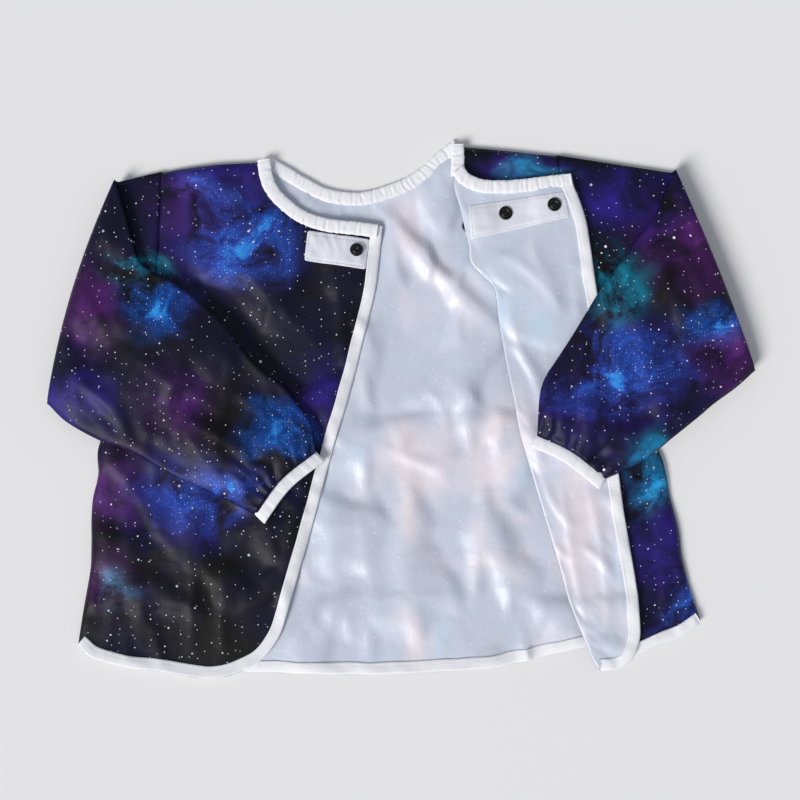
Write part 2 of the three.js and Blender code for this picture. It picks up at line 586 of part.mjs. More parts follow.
addPiece('right_back_panel', rightBackFlap());
addPiece('right_edge_binding', binding(flapEdge, FLAP_Z).intersect(rightOfFold));
addPiece('right_neck_casing', neckPieces.flap(casing));
addPiece('right_neck_elastic', neckPieces.flap(elastic));

// Snaps: the stud sits on the printed side of the left panel, the sockets on the lining of the right one.
const backPatchZ = BACK_Z + CLOTH + GAP;
const flapPatchZ = FLAP_Z + CLOTH + GAP;
const postLength = CLOTH + 2 * GAP + TAPE + SNAP_RING - SNAP_WELL_DEPTH;
addPiece('left_snap_patch', cut(patch(leftPatchCorner, LEFT_PATCH_LENGTH, LEFT_PATCH_ANGLE, backPatchZ),
  postRoom(leftStudCentre)));
addPiece('left_snap_cap', snapCap(leftStudCentre, BACK_Z - GAP, postLength, 1));
addPiece('left_snap_stud', snapStud(leftStudCentre, backPatchZ + TAPE + GAP));

addPiece('right_snap_patch', cut(patch(rightPatchCorner, RIGHT_PATCH_LENGTH, RIGHT_PATCH_ANGLE, flapPatchZ),
  postRoom(outerSnap), postRoom(innerSnap)));
for (const [name, centre] of [['outer', outerSnap], ['inner', innerSnap]]) {
  addPiece(`right_${name}_snap_cap`, snapCap(centre, FLAP_Z - GAP, postLength, 1));
  addPiece(`right_${name}_snap_socket`, snapSocket(centre, flapPatchZ + TAPE + GAP, 1));
}

const hiddenPatchZ = BACK_Z - GAP - TAPE;
const hiddenPatchLine = [-HIDDEN_PATCH_HALF, HIDDEN_PATCH_HALF].map((distance) =>
  byTheFold(HIDDEN_SNAP_DROP + distance, HIDDEN_PATCH_INSET));
const hiddenPatch = band(hiddenPatchLine, 0, HIDDEN_PATCH_WIDTH, hiddenPatchZ, hiddenPatchZ + TAPE);
addPiece('right_side_snap_patch', cut(hiddenPatch, postRoom(hiddenSnap)));
addPiece('right_side_snap_cap', snapCap(hiddenSnap, BACK_Z + CLOTH + GAP, postLength, -1));
addPiece('right_side_snap_socket', snapSocket(hiddenSnap, hiddenPatchZ - GAP, -1));

// Sleeves
const leftCuff = cuff(leftCuffLow, leftCuffHigh, LEFT_SLEEVE_Z);
addPiece('left_sleeve', leftSleeve());
addPiece('left_cuff_binding', leftCuff.tape);
addPiece('left_cuff_elastic', leftCuff.band);
const rightCuff = cuff(rightCuffLow, rightCuffHigh, RIGHT_SLEEVE_Z);
addPiece('right_sleeve', rightSleeve());
addPiece('right_cuff_binding', rightCuff.tape);
addPiece('right_cuff_elastic', rightCuff.band);

// The middle of the garment's footprint is the origin.
const footprint = new THREE.Box3().setFromObject(group);
const centre = footprint.getCenter(new THREE.Vector3());
for (const piece of group.children) piece.geometry.translate(-centre.x, -centre.y, -footprint.min.z);

export default group;
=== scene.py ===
# Child's art smock of coated polyester, face down: printed outside, pale lining, white bound edges,
# gathered neck and cuffs, black plastic snaps.  Lengths below are millimetres unless a name says otherwise.
import math

import bpy
import numpy as np
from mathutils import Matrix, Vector
from mathutils.bvhtree import BVHTree


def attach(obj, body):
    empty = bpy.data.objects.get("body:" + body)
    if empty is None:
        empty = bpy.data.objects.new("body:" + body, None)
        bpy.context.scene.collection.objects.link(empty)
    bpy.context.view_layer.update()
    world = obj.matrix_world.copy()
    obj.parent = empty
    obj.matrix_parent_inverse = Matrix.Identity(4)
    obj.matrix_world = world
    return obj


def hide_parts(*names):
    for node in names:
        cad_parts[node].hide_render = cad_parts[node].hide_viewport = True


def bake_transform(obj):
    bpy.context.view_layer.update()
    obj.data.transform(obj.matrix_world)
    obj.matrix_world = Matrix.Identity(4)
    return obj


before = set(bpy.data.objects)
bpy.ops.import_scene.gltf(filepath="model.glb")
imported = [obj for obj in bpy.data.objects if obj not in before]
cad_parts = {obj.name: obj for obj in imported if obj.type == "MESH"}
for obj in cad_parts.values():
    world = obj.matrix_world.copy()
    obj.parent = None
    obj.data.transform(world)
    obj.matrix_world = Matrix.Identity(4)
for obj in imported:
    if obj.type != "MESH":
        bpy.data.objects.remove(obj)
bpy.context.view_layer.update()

MM = 0.001
GRID = 3.2          # spacing of the cloth's mesh

# --- layers
FRONT_Z = 0.9
BACK_Z = 8.6
FLAP_Z = 12.7
HINGE_FLAP_Z = 10.7
HINGE_LEFT_SLEEVE_Z = 10.4
HINGE_RIGHT_SLEEVE_Z = 12.25
FLAP_REACH = 0.9                               # and above and below the hinges of the folded pieces
LEFT_ARM_LOW = 11.3                            # underside of each folded sleeve
RIGHT_ARM_LOW = 15.2
SEAM_ROLL = 9.0                                # how far in from a side seam the back curves down
SEAM_Z = 2.6                                   # height of the side seams
SIMULATED_FRAMES = 28
CLOTH_THICKNESS = 0.35
CLOTH_PLACE = "cloth_place"                    # where each point lies at rest: the print stays on its cloth
GATHERED_SLACK = 0.2
TABLE_GAP = 0.06                               # nothing lies lower than this over the table

# --- curves
def points(*pairs):
    return np.array(pairs, float)


def smooth(path, count=None, step=GRID):
    """Evenly spaced points on a smooth curve through the given ones."""
    path = np.asarray(path, float)
    padded = np.vstack([2 * path[0] - path[1], path, 2 * path[-1] - path[-2]])
    fine = []
    for a, b, c, d in zip(padded, padded[1:], padded[2:], padded[3:]):
        t = np.linspace(0, 1, 24, endpoint=False)[:, None]
        fine.append(0.5 * (2 * b + (c - a) * t + (2 * a - 5 * b + 4 * c - d) * t**2
                           + (3 * b - a - 3 * c + d) * t**3))
    fine = np.vstack(fine + [path[-1:]])
    return even(fine, count, step)


def run_along(path):
    """Distance along a path from its start to each of its points."""
    return np.concatenate([[0], np.cumsum(np.linalg.norm(np.diff(path, axis=0), axis=1))])


def even(path, count=None, step=GRID):
    run = run_along(path)
    count = count or max(2, int(run[-1] / step) + 1)
    at = np.linspace(0, run[-1], count)
    return np.stack([np.interp(at, run, path[:, k]) for k in range(path.shape[1])], axis=1)


def sides_of(path):
    """Unit vectors to the left of the way at each point of a plan path."""
    way = np.gradient(path, axis=0)
    way /= np.linalg.norm(way, axis=1)[:, None]
    return np.stack([-way[:, 1], way[:, 0]], axis=1)


def net(bottom, top, left, right):
    """Grid of plan points spanned by four edges: rows go from bottom to top, columns from left to right."""
    s = np.linspace(0, 1, len(bottom))[None, :, None]
    t = np.linspace(0, 1, len(left))[:, None, None]
    ruled_up = (1 - t) * bottom[None] + t * top[None]
    ruled_across = (1 - s) * left[:, None] + s * right[:, None]
    corners = ((1 - s) * (1 - t) * bottom[0] + s * (1 - t) * bottom[-1]
               + (1 - s) * t * top[0] + s * t * top[-1])
    return ruled_up + ruled_across - corners


def nearest(x, y, path):
    """Distance of each plan point from a path, and how far along the path its nearest point lies."""
    best = np.full(np.shape(x), np.inf)
    run = np.zeros(np.shape(x))
    gone = 0.0
    for a, b in zip(path[:-1], path[1:]):
        d = b - a
        length = math.hypot(*d)
        share = np.clip(((x - a[0]) * d[0] + (y - a[1]) * d[1]) / max(length**2, 1e-9), 0, 1)
        gap = np.hypot(x - a[0] - share * d[0], y - a[1] - share * d[1])
        run = np.where(gap < best, gone + share * length, run)
        best = np.minimum(best, gap)
        gone += length
    return best, run


def away(x, y, path):
    return nearest(x, y, path)[0]


# --- how cloth wrinkles
SWELL_WAVES = 7
SWELL_SUM = 3.2                                # brings their sum to about -1 to 1
STEEP_SIDE = 0.55                              # width of a fold's steep side over that of the other


def swell(x, y, size, seed):
    """Soft random rise and fall, about -1 to 1, with waves of about the given size."""
    rng = np.random.default_rng(seed)
    total = 0
    for _ in range(SWELL_WAVES):
        angle = rng.uniform(0, 2 * math.pi)
        k = 2 * math.pi / (size * rng.uniform(0.7, 1.5))
        total = total + np.sin(k * (x * math.cos(angle) + y * math.sin(angle)) + rng.uniform(0, 6.28))
    return total / SWELL_SUM


def fold(x, y, start, end, height, width, bend=0.0):
    """One fold line in the cloth, highest in the middle, steeper on one side, dying out at both ends."""
    a = np.array(start, float)
    d = np.array(end, float) - a
    length = math.hypot(*d)
    u = ((x - a[0]) * d[0] + (y - a[1]) * d[1]) / length**2
    v = ((y - a[1]) * d[0] - (x - a[0]) * d[1]) / length
    v = v - bend * 4 * u * (1 - u)
    ends = np.clip(np.sin(np.clip(u, 0, 1) * math.pi), 0, 1) ** 0.7
    w = np.where(v > 0, width, width * STEEP_SIDE)
    return height * ends * np.exp(-((np.abs(v) / w) ** 1.6))


def folds(x, y, lines):
    return sum(fold(x, y, *line) for line in lines)


def strewn_folds(x, y, count, middle, reach, lean, high, seed):
    """Smaller folds strewn over a piece, most of them running one way (lean, in degrees)."""
    rng = np.random.default_rng(seed)
    total = np.zeros(np.shape(x))
    for _ in range(count):
        at = np.array(middle) + rng.uniform(-1, 1, 2) * reach
        turn = math.radians(lean) + rng.normal(0, 0.4)
        half = rng.uniform(16, 42) * np.array([math.cos(turn), math.sin(turn)])
        height = high * rng.uniform(0.5, 1.0)
        total = total + fold(x, y, at - half, at + half, height, rng.uniform(4.5, 8.5), rng.uniform(-6, 6))
    return total


def pleats(run, distance, spacing, reach, seed):
    """Gathers that stand along a drawn-in edge and fade with the distance from it."""
    wander = 0.35 * spacing * swell(run, distance, 3.1 * spacing, seed)
    phase = (run + wander) / spacing * math.pi
    sharp = 1 - np.abs(np.sin(phase)) ** 0.8
    uneven = 0.65 + 0.35 * swell(run, 0 * run, 2.3 * spacing, seed + 1)
    return sharp * uneven * np.exp(-distance / reach)


def roll_down(distance):
    """0 at a seam, 1 once the cloth has curved up to its level."""
    near = np.clip(1 - distance / SEAM_ROLL, 0, 1)
    return np.sqrt(np.clip(1 - near**2, 0, 1))


# --- outline of the garment as it lies
LEFT_NECK = (-122, 224)
RIGHT_NECK = (52, 238)
LEFT_ARMHOLE = points((-214.7, 214), (-217, 150), (-226, 90), (-246, 20), (-270, -28.8))
RIGHT_ARMHOLE = points((142, 229), (150, 160), (172, 90), (200, 20), (233.9, -36.9))
LEFT_SIDE = points((-270, -28.8), (-272.5, -60), (-278, -90), (-279, -142), (-284.5, -175),
                   (-290.5, -213))
RIGHT_SIDE = points((233.9, -36.9), (245, -81), (252.5, -110), (255.6, -135), (262, -160),
                    (272.5, -192))
LEFT_SHOULDER = points(LEFT_NECK, (-166, 221.5), (-197, 217.5), (-214.7, 214))
RIGHT_SHOULDER = points(RIGHT_NECK, (95, 234), (142, 229))
FRONT_NECKLINE = points(LEFT_NECK, (-101, 212), (-86, 203), (-68, 194), (-46, 190), (-28, 191),
                        (0, 200), (20, 211), (34, 224), RIGHT_NECK)
FRONT_HEM = points((-290.5, -213), (-243, -229), (-180, -236), (-119.6, -238.5), (-37.4, -240.3),
                   (42, -237.6), (90, -233), (145, -220.5), (172, -215), (225, -207), (272.5, -192))
LEFT_NECKLINE = points(LEFT_NECK, (-119.5, 208), (-114, 196), (-104, 185), (-88, 173), (-66, 165.5),
                       (-40, 162.5), (-20, 160))
LEFT_HEM = points((-290.5, -213), (-275, -225), (-243.5, -233), (-214.7, -236.5), (-181.4, -242.3),
                  (-163, -242), (-144.5, -237.3), (-124, -226))
LEFT_EDGE = points((-124, -226), (-109.4, -207), (-101.3, -184.5), (-88.7, -141.3), (-76.2, -97.8),
                   (-63.8, -50.4), (-54.9, -20), (-45.7, 11.1), (-35.5, 50), (-27.5, 82.3), (-21.4, 108),
                   (-18, 135), (-16.4, 150), (-14.9, 164.3))
FOLD_LINE = points((52, 214), (50.5, 199), (55.4, 182), (60, 163), (63.8, 146), (65, 133), (74, 122),
                   (85.5, 111), (88.5, 99), (90.5, 80), (93.8, 60.8), (98, 37.5), (104.4, 7.7),
                   (109.7, -22), (121.4, -62), (134.6, -106), (145, -141), (153.5, -172),
                   (165.8, -203), (172, -218), (179.2, -233))
FLAP_NECKLINE = points((52, 214), (60, 205), (75, 199.5), (98, 198.9), (128, 202), (153.6, 205))
FLAP_EDGE = points((179.2, -234.5), (194.7, -233.5), (207.1, -225.9), (213.3, -213), (215.6, -198),
                   (213.3, -166), (208, -133), (201, -92), (196.7, -59.4), (190, 0), (183.5, 60),
                   (177, 105), (170.3, 150), (167, 169), (161.7, 186), (156.4, 199), (153.7, 210.6))
RIGHT_SIDE_HEM = points((174, -226), (211.2, -221.5), (233.9, -212.4), (256.7, -203), (272.5, -193))
LEFT_SLEEVE_FOLD = points((-314.8, 4.2), (-253.8, 204.8))
RIGHT_SLEEVE_FOLD = points((317, 34), (245, 213))
LEFT_CUFF = points((-128.9, -95.4), (-105.8, -64), (-74.4, -38.7))
RIGHT_CUFF = points((184, -62.5), (152, -38), (122.3, -24))
LEFT_SLEEVE_LOW = points((-314.8, 4.2), (-298.4, -11.7), (-269.6, -27.9), (-236.3, -41.4),
                         (-199.4, -62.1), (-162.8, -78.3), (-128.9, -95.4))
LEFT_SLEEVE_HIGH = points((-253.8, 204.8), (-244.4, 172), (-238.5, 150), (-230.6, 129), (-204.1, 114.4),
                          (-180.1, 97.2), (-154.8, 73.1), (-140, 52.5), (-116.9, 29.7), (-103.1, 20.3),
                          (-91.6, 4.5), (-80.6, -11.7), (-74.4, -38.7))
RIGHT_SLEEVE_LOW = points((317, 34), (300.9, 19.4), (280.7, 4.6), (265.8, -8.1), (233.9, -33.7),
                          (215.4, -48.2), (184, -62.5))
RIGHT_SLEEVE_HIGH = points((245, 213), (236.1, 190.4), (223.3, 167), (206.4, 144), (189.4, 120.3),
                           (175.6, 101.3), (163.9, 82.1), (152.2, 63), (138.4, 41.8), (129.9, 29),
                           (124.6, 12.1), (122.3, -24))
BINDING_WIDTH = 10.6
CASING_WIDTH = 12.4
CUFF_TAPE = 11.0


# --- height of each layer over the table
def within_casing(z, neck, level):
    """Flattens the cloth to the casing's level where it runs inside it."""
    return level + (z - level) * np.clip(neck / CASING_WIDTH, 0, 1)


def front_height(x, y):
    """Front panel, printed side on the table."""
    neck, run = nearest(x, y, FRONT_NECKLINE)
    z = FRONT_Z + 1.3 + 0.9 * swell(x, y, 88, 3)
    z = z + folds(x, y, [
        ((102, 62), (-20, 188), 4.6, 10, 4),
        ((96, 84), (8, 184), -2.2, 12, 3),
        ((-10, -110), (-36, -30), 2.2, 9, 5),
        ((26, -226), (2, -90), 2.4, 9, 5),
        ((-66, -222), (-44, -150), 1.8, 7, 4),
        ((58, -222), (40, -140), 1.8, 8, -4),
        ((-48, 150), (-30, -60), 1.5, 9, 6),
        ((-5, 120), (20, -120), 1.2, 12, -5),
        ((-70, 60), (-62, -190), 1.2, 11, 4),
        ((55, 60), (95, -170), 1.3, 10, -6),
        ((0, -40), (12, -228), 1.6, 9, 3),
        ((-35, -50), (-12, -222), 1.5, 9, -6),
        ((70, -60), (60, -225), 1.1, 10, 4),
        ((-38, -4), (76, -3), -0.9, 3, 1),
    ])
    z = z + strewn_folds(x, y, 40, (20, -40), (110, 180), 112, 2.5, 32)
    z = z + 2.6 * pleats(run, neck, 11, 24, 31)
    return within_casing(z, neck, 2.2)


def left_height(x, y):
    """Left back panel, lying closed over the front."""
    neck, run = nearest(x, y, LEFT_NECKLINE)
    z = BACK_Z - 1.1 + 0.6 * swell(x, y, 90, 11)
    z = z + folds(x, y, [
        ((-205, 135), (-80, 12), -5.5, 13, 3),
        ((-176, 160), (-62, 44), 1.8, 12, 3),
        ((-118, 178), (-180, 105), 2.2, 9, -5),
        ((-76, -100), (-150, -30), 2.0, 8, 4),
        ((-100, 165), (-128, 60), 1.8, 8, 4),
        ((-60, 122), (-50, 20), 1.4, 9, 4),
        ((-165, 200), (-205, 140), 1.7, 8, 4),
        ((-200, 205), (-222, 150), 1.6, 7, -3),
        ((-262, -50), (-215, -120), 1.9, 9, 6),
        ((-245, -48), (-230, -220), 1.6, 10, -7),
        ((-196, -70), (-190, -225), 1.7, 9, 6),
        ((-150, -100), (-160, -230), 1.5, 9, -4),
        ((-82, -40), (-104, -150), 1.2, 8, -3),
        ((-272, -90), (-255, -200), 1.3, 8, 4),
    ])
    z = z + strewn_folds(x, y, 26, (-160, -30), (110, 200), 118, 1.6, 42)
    z = z + 2.1 * pleats(run, neck, 10, 18, 41)
    z = z - 3.0 * np.exp(-away(x, y, LEFT_EDGE) / 16)
    return within_casing(z, neck, 7.6)


def right_side_height(x, y):
    """Part of the right back panel that stays printed side up."""
    z = BACK_Z - 1.2 + 0.4 * swell(x, y, 80, 21)
    return z + folds(x, y, [
        ((225, -60), (238, -200), 1.6, 8, 5),
        ((246, -90), (262, -180), 1.2, 7, -3),
        ((150, 215), (190, 150), 1.3, 8, 4),
        ((75, 225), (120, 215), 1.2, 6, 2),
    ])


def flap_height(x, y):
    """Turned-back part of the right panel, lining up."""
    neck, run = nearest(x, y, FLAP_NECKLINE)
    z = FLAP_Z + 0.4 + 0.5 * swell(x, y, 70, 51)
    z = z + folds(x, y, [
        ((86, 140), (146, 84), 2.6, 8, 9),
        ((96, 100), (128, 22), 2.2, 8, -6),
        ((100, 60), (132, -16), 2.2, 7, 6),
        ((118, 150), (140, 110), 1.8, 7, -4),
        ((150, 150), (160, 60), 1.6, 8, 3),
        ((104, 20), (128, -70), 1.8, 7, 4),
        ((128, -60), (160, -110), 2.2, 8, -5),
        ((165, -60), (186, -200), 2.2, 8, 6),
        ((145, -50), (168, -190), 1.8, 7, -4),
        ((190, -80), (200, -190), 1.6, 7, 3),
        ((160, -120), (196, -160), 1.7, 7, 4),
    ])
    z = z + 1.6 * pleats(run, neck, 10, 13, 61)
    z = z - 0.9 * np.exp(-away(x, y, FOLD_LINE) / 5)
    return within_casing(z, neck, 13.0)


OPEN_FADE = 12                                 # over which the cloth rises past the rim of the sleeve on it
PRESS = 1.6                                    # how sharply cloth flattens as it nears what lies on it


def clear_of_sleeve(x, y):
    """1 where the turned-back panel lies open, 0 where the right sleeve rests on it."""
    rim = np.vstack([points((300, -66), (184, -62.5), (152, -38)), RIGHT_SLEEVE_HIGH[::-1]])
    return np.clip((np.interp(y, rim[:, 1], rim[:, 0]) - x) / OPEN_FADE, 0, 1)


def kept_under(z, ceiling):
    """Presses the cloth softly down under a ceiling."""
    return ceiling - np.log1p(np.exp(PRESS * (ceiling - z))) / PRESS


def sewn_down(z, x, y, *seams):
    """Brings the cloth down to the front panel where a seam joins the two."""
    near = np.minimum.reduce([away(x, y, seam) for seam in seams])
    return SEAM_Z + (z - SEAM_Z) * roll_down(near)


# --- cloth simulation
def rumple(grid, heights, slack, gathered, most_mm, seed):
    """Rise and fall of a panel that has more cloth than room, from a cloth simulation without gravity.
    Its outline is held.  The cloth has the share slack to spare, and GATHERED_SLACK where gathered is 1."""
    rows, columns = heights.shape
    some_rows = np.unique(np.linspace(0, rows - 1, rows // 2 + 1).astype(int))
    some_columns = np.unique(np.linspace(0, columns - 1, columns // 2 + 1).astype(int))
    pick = np.ix_(some_rows, some_columns)
    start = heights[pick]
    uneven = np.random.default_rng(seed).normal(0, 0.15, start.shape)
    sheet = cloth_from_net("simulated", grid[pick], start + uneven)
    held = sheet.vertex_groups.new(name="held")
    drawn = sheet.vertex_groups.new(name="drawn")
    rim = np.zeros(start.shape, bool)
    rim[[0, -1]] = True
    rim[:, [0, -1]] = True
    held.add([int(i) for i in np.flatnonzero(rim)], 1.0, "REPLACE")
    for i, share in enumerate(np.broadcast_to(gathered, heights.shape)[pick].ravel()):
        drawn.add([i], float(np.clip(share, 0, 1)), "REPLACE")
    cloth = sheet.modifiers.new("cloth", "CLOTH")
    fabric = cloth.settings
    fabric.quality = 6
    fabric.mass = 0.08
    fabric.tension_stiffness = fabric.compression_stiffness = 15
    fabric.shear_stiffness = 6
    fabric.bending_stiffness = 0.3
    fabric.air_damping = 2
    fabric.vertex_group_mass = "held"
    fabric.vertex_group_shrink = "drawn"
    fabric.shrink_min = -slack
    fabric.shrink_max = -GATHERED_SLACK
    fabric.effector_weights.gravity = 0
    cloth.collision_settings.use_collision = False
    scene = bpy.context.scene
    first = scene.frame_current
    for moment in range(first, first + SIMULATED_FRAMES):
        scene.frame_set(moment)
    settled = sheet.evaluated_get(bpy.context.evaluated_depsgraph_get())
    found = np.zeros(start.size * 3)
    settled.data.vertices.foreach_get("co", found)
    moved = found.reshape(*start.shape, 3)[..., 2] / MM - start
    scene.frame_set(first)
    mesh = sheet.data
    bpy.data.objects.remove(sheet)
    bpy.data.meshes.remove(mesh)
    by_row = np.array([np.interp(np.arange(columns), some_columns, line) for line in moved])
    fine = np.array([np.interp(np.arange(rows), some_rows, line) for line in by_row.T]).T
    for _ in range(2):
        fine[1:-1] = (fine[:-2] + 2 * fine[1:-1] + fine[2:]) / 4
        fine[:, 1:-1] = (fine[:, :-2] + 2 * fine[:, 1:-1] + fine[:, 2:]) / 4
    return most_mm * np.tanh(fine / most_mm)


def surface_of(piece):
    """Height of a finished cloth over the table, for the trims that lie on it."""
    mesh = piece.data
    corners = [tuple(v.co / MM) for v in mesh.vertices]
    tree = BVHTree.FromPolygons(corners, [tuple(face.vertices) for face in mesh.polygons])
    down = Vector((0, 0, -1))

    def one(x, y):
        hit = tree.ray_cast(Vector((x, y, 100)), down)[0]
        if hit is None:
            hit = tree.find_nearest(Vector((x, y, 5)))[0]
        return hit.z

    return np.vectorize(one)


# --- meshes
def add_mesh(name, vertices_mm, faces, smooth_faces=True):
    mesh = bpy.data.meshes.new(name)
    metres = np.asarray(vertices_mm) * MM
    mesh.from_pydata([tuple(v) for v in metres], [], [tuple(int(i) for i in f) for f in faces])
    mesh.update()
    place = mesh.attributes.new(CLOTH_PLACE, "FLOAT_VECTOR", "POINT")
    place.data.foreach_set("vector", metres.ravel())
    if smooth_faces:
        mesh.polygons.foreach_set("use_smooth", [True] * len(mesh.polygons))
    piece = bpy.data.objects.new(name, mesh)
    bpy.context.scene.collection.objects.link(piece)
    return piece


def grid_faces(rows, columns, closed=False):
    faces = []
    last = columns if closed else columns - 1
    for r in range(rows - 1):
        for c in range(last):
            d = (c + 1) % columns
            faces.append((r * columns + c, r * columns + d, (r + 1) * columns + d, (r + 1) * columns + c))
    return faces


def tube_faces(rings, count):
    """Faces of a tube of rings with count points each, and the two that close its ends."""
    first = tuple(range(count))
    last = tuple(range((rings - 1) * count, rings * count))
    return grid_faces(rings, count, closed=True), first, last


def cloth_from_net(name, grid, heights):
    vertices = np.dstack([grid, heights]).reshape(-1, 3)
    return add_mesh(name, vertices, grid_faces(*grid.shape[:2]))


def thicken(piece, thickness=CLOTH_THICKNESS, rim=0):
    """Two skins: the mesh's own side has its first material, the other side the second, the rim either."""
    layer = piece.modifiers.new("two skins", "SOLIDIFY")
    layer.thickness = thickness * MM
    layer.offset = -1
    layer.material_offset = 1
    layer.material_offset_rim = rim
    return piece


def finish_cloth(piece, own_side, other_side, rim=0):
    piece.data.materials.append(own_side)
    piece.data.materials.append(other_side)
    thicken(piece, rim=rim)
    return piece


# --- tapes
TAPE_HALF = 1.15                               # half the height of the folded tape
TAPE_STEP = 2.2
TAPE_PUCKER = 0.25
# Cross-section of the folded tape: in from its edge, and up as a share of TAPE_HALF.
TAPE_PROFILE = [(BINDING_WIDTH, 0.35), (BINDING_WIDTH - 0.25, 0.8), (BINDING_WIDTH - 1.6, 0.62),
                (BINDING_WIDTH - 3.2, 0.95), (BINDING_WIDTH / 2, 1.1), (2.2, 1.05), (0.7, 0.75),
                (0.0, 0.0), (0.7, -0.75), (2.2, -1.0), (BINDING_WIDTH / 2, -1.0),
                (BINDING_WIDTH - 1.6, -0.75), (BINDING_WIDTH - 0.2, -0.6)]


def tape_along(name, path, height, seed):
    """Bias tape folded over a cloth edge: path is the outer edge, the tape lies to the left of the way."""
    path = smooth(path, step=TAPE_STEP)
    side = sides_of(path)
    run = run_along(path)
    stitch_pull = 0.55 + 0.45 * np.sin(run / 3.1 + 1.4 * swell(run, 0 * run, 17, seed))
    wobble = 0.35 * swell(run, 0 * run, 34, seed + 7)
    vertices = []
    for i in range(len(path)):
        for inward, up in TAPE_PROFILE:
            p = path[i] + side[i] * (inward + wobble[i] * (0.4 if inward < 1 else 1))
            z = height(p[0], p[1]) + TAPE_HALF * up
            if up > 0.5:
                z += TAPE_PUCKER * stitch_pull[i] * (1 if inward > BINDING_WIDTH * 0.4 else 0.5)
            vertices.append((p[0], p[1], max(z, TABLE_GAP)))
    tube, first, last = tube_faces(len(path), len(TAPE_PROFILE))
    return add_mesh(name, vertices, tube + [first, last[::-1]])


def puckers(run, across, pitch, seed):
    """Uneven little cross folds of drawn-in tape, 0 on the crests to about 1 in the creases."""
    wander = 1.3 * swell(run, across * 5, 19, seed) + 0.8 * swell(run, across * 7, 8, seed + 1)
    fine = 1 - np.abs(np.sin(math.pi * (run + wander) / pitch)) ** 0.8
    wide = 1 - np.abs(np.sin(math.pi * (run + 2 * wander) / (1.9 * pitch))) ** 1.2
    return (0.5 + 0.5 * swell(run, across * 6, 16, seed + 2)) * fine + 0.55 * wide


CASING_PUFF = 2.3
CASING_STEP = 0.9
CASING_POINTS = 26                             # round the tunnel
PUCKER_PITCH = 4.6
PUCKER_DEPTH = 0.85


def gathered_tape(name, path, level, seed):
    """Tape tunnel drawn in by its elastic: a flat tube with uneven puckers across it."""
    path = smooth(path, step=CASING_STEP)
    side = sides_of(path)[:, None, :]
    run = run_along(path)[:, None]
    around = np.linspace(0, 2 * math.pi, CASING_POINTS, endpoint=False)[None, :]
    across = np.cos(around) + 0 * run
    up = np.sin(around) + 0 * run
    crease = puckers(run + 0 * around, across, PUCKER_PITCH, seed)
    flat = np.sign(across) * np.abs(across) ** 0.7
    reach = flat * (CASING_WIDTH / 2 - 0.55 * crease * np.abs(across) ** 2)
    plan = path[:, None, :] + side * reach[..., None]
    z = level + up * CASING_PUFF * 0.85 - np.where(up > 0, PUCKER_DEPTH * crease * up, 0)
    vertices = np.dstack([plan, z]).reshape(-1, 3)
    tube, first, last = tube_faces(len(path), CASING_POINTS)
    return add_mesh(name, vertices, tube + [first, last[::-1]])


STITCH = 2.3
STITCH_GAP = 0.9
THREAD_RADIUS = 0.17
THREAD_SIDES = 5
STITCH_DIP = 0.12                              # how far its ends sink into the cloth
# Rings of one stitch: share of its length, and radius over the thread's.
STITCH_RINGS = ((0, 0.35), (0.2, 1), (0.8, 1), (1, 0.35))


def stitch_row(name, path, height, lift):
    """Row of lockstitches: short thread bars lying in the cloth."""
    path = smooth(path, step=0.5)
    run = run_along(path)
    tube, near_end, far_end = tube_faces(len(STITCH_RINGS), THREAD_SIDES)
    bar = tube + [near_end[::-1], far_end]
    vertices = []
    faces = []
    for start in np.arange(0.5, run[-1] - STITCH, STITCH + STITCH_GAP):
        first = len(vertices)
        for share, thin in STITCH_RINGS:
            at = start + share * STITCH
            p = np.array([np.interp(at, run, path[:, 0]), np.interp(at, run, path[:, 1])])
            q = np.array([np.interp(at + 0.1, run, path[:, 0]), np.interp(at + 0.1, run, path[:, 1])])
            way = (q - p) / max(np.linalg.norm(q - p), 1e-6)
            side = np.array([-way[1], way[0]])
            z = float(height(p[0], p[1])) + lift - (STITCH_DIP if thin < 1 else 0)
            radius = THREAD_RADIUS * thin
            for k in range(THREAD_SIDES):
                a = 2 * math.pi * k / THREAD_SIDES
                offset = side * math.cos(a) * radius
                vertices.append((p[0] + offset[0], p[1] + offset[1], z + math.sin(a) * radius))
        for face in bar:
            faces.append(tuple(first + corner for corner in face))
    return add_mesh(name, vertices, faces)


# --- sleeves
FOLD_RINGS = (8, 26)                           # rings near the sleeve's fold, printed inside too
HEAD_MIDDLE = 5.0                              # middle of the part under the fold, and half its height
HEAD_HALF = 3.9
CUFF_PUFF = 3.0                                # cloth standing up above the drawn-in cuff
CUFF_PLEAT_DEPTH = 5.0
CUFF_PLEAT_PITCH = 9.5


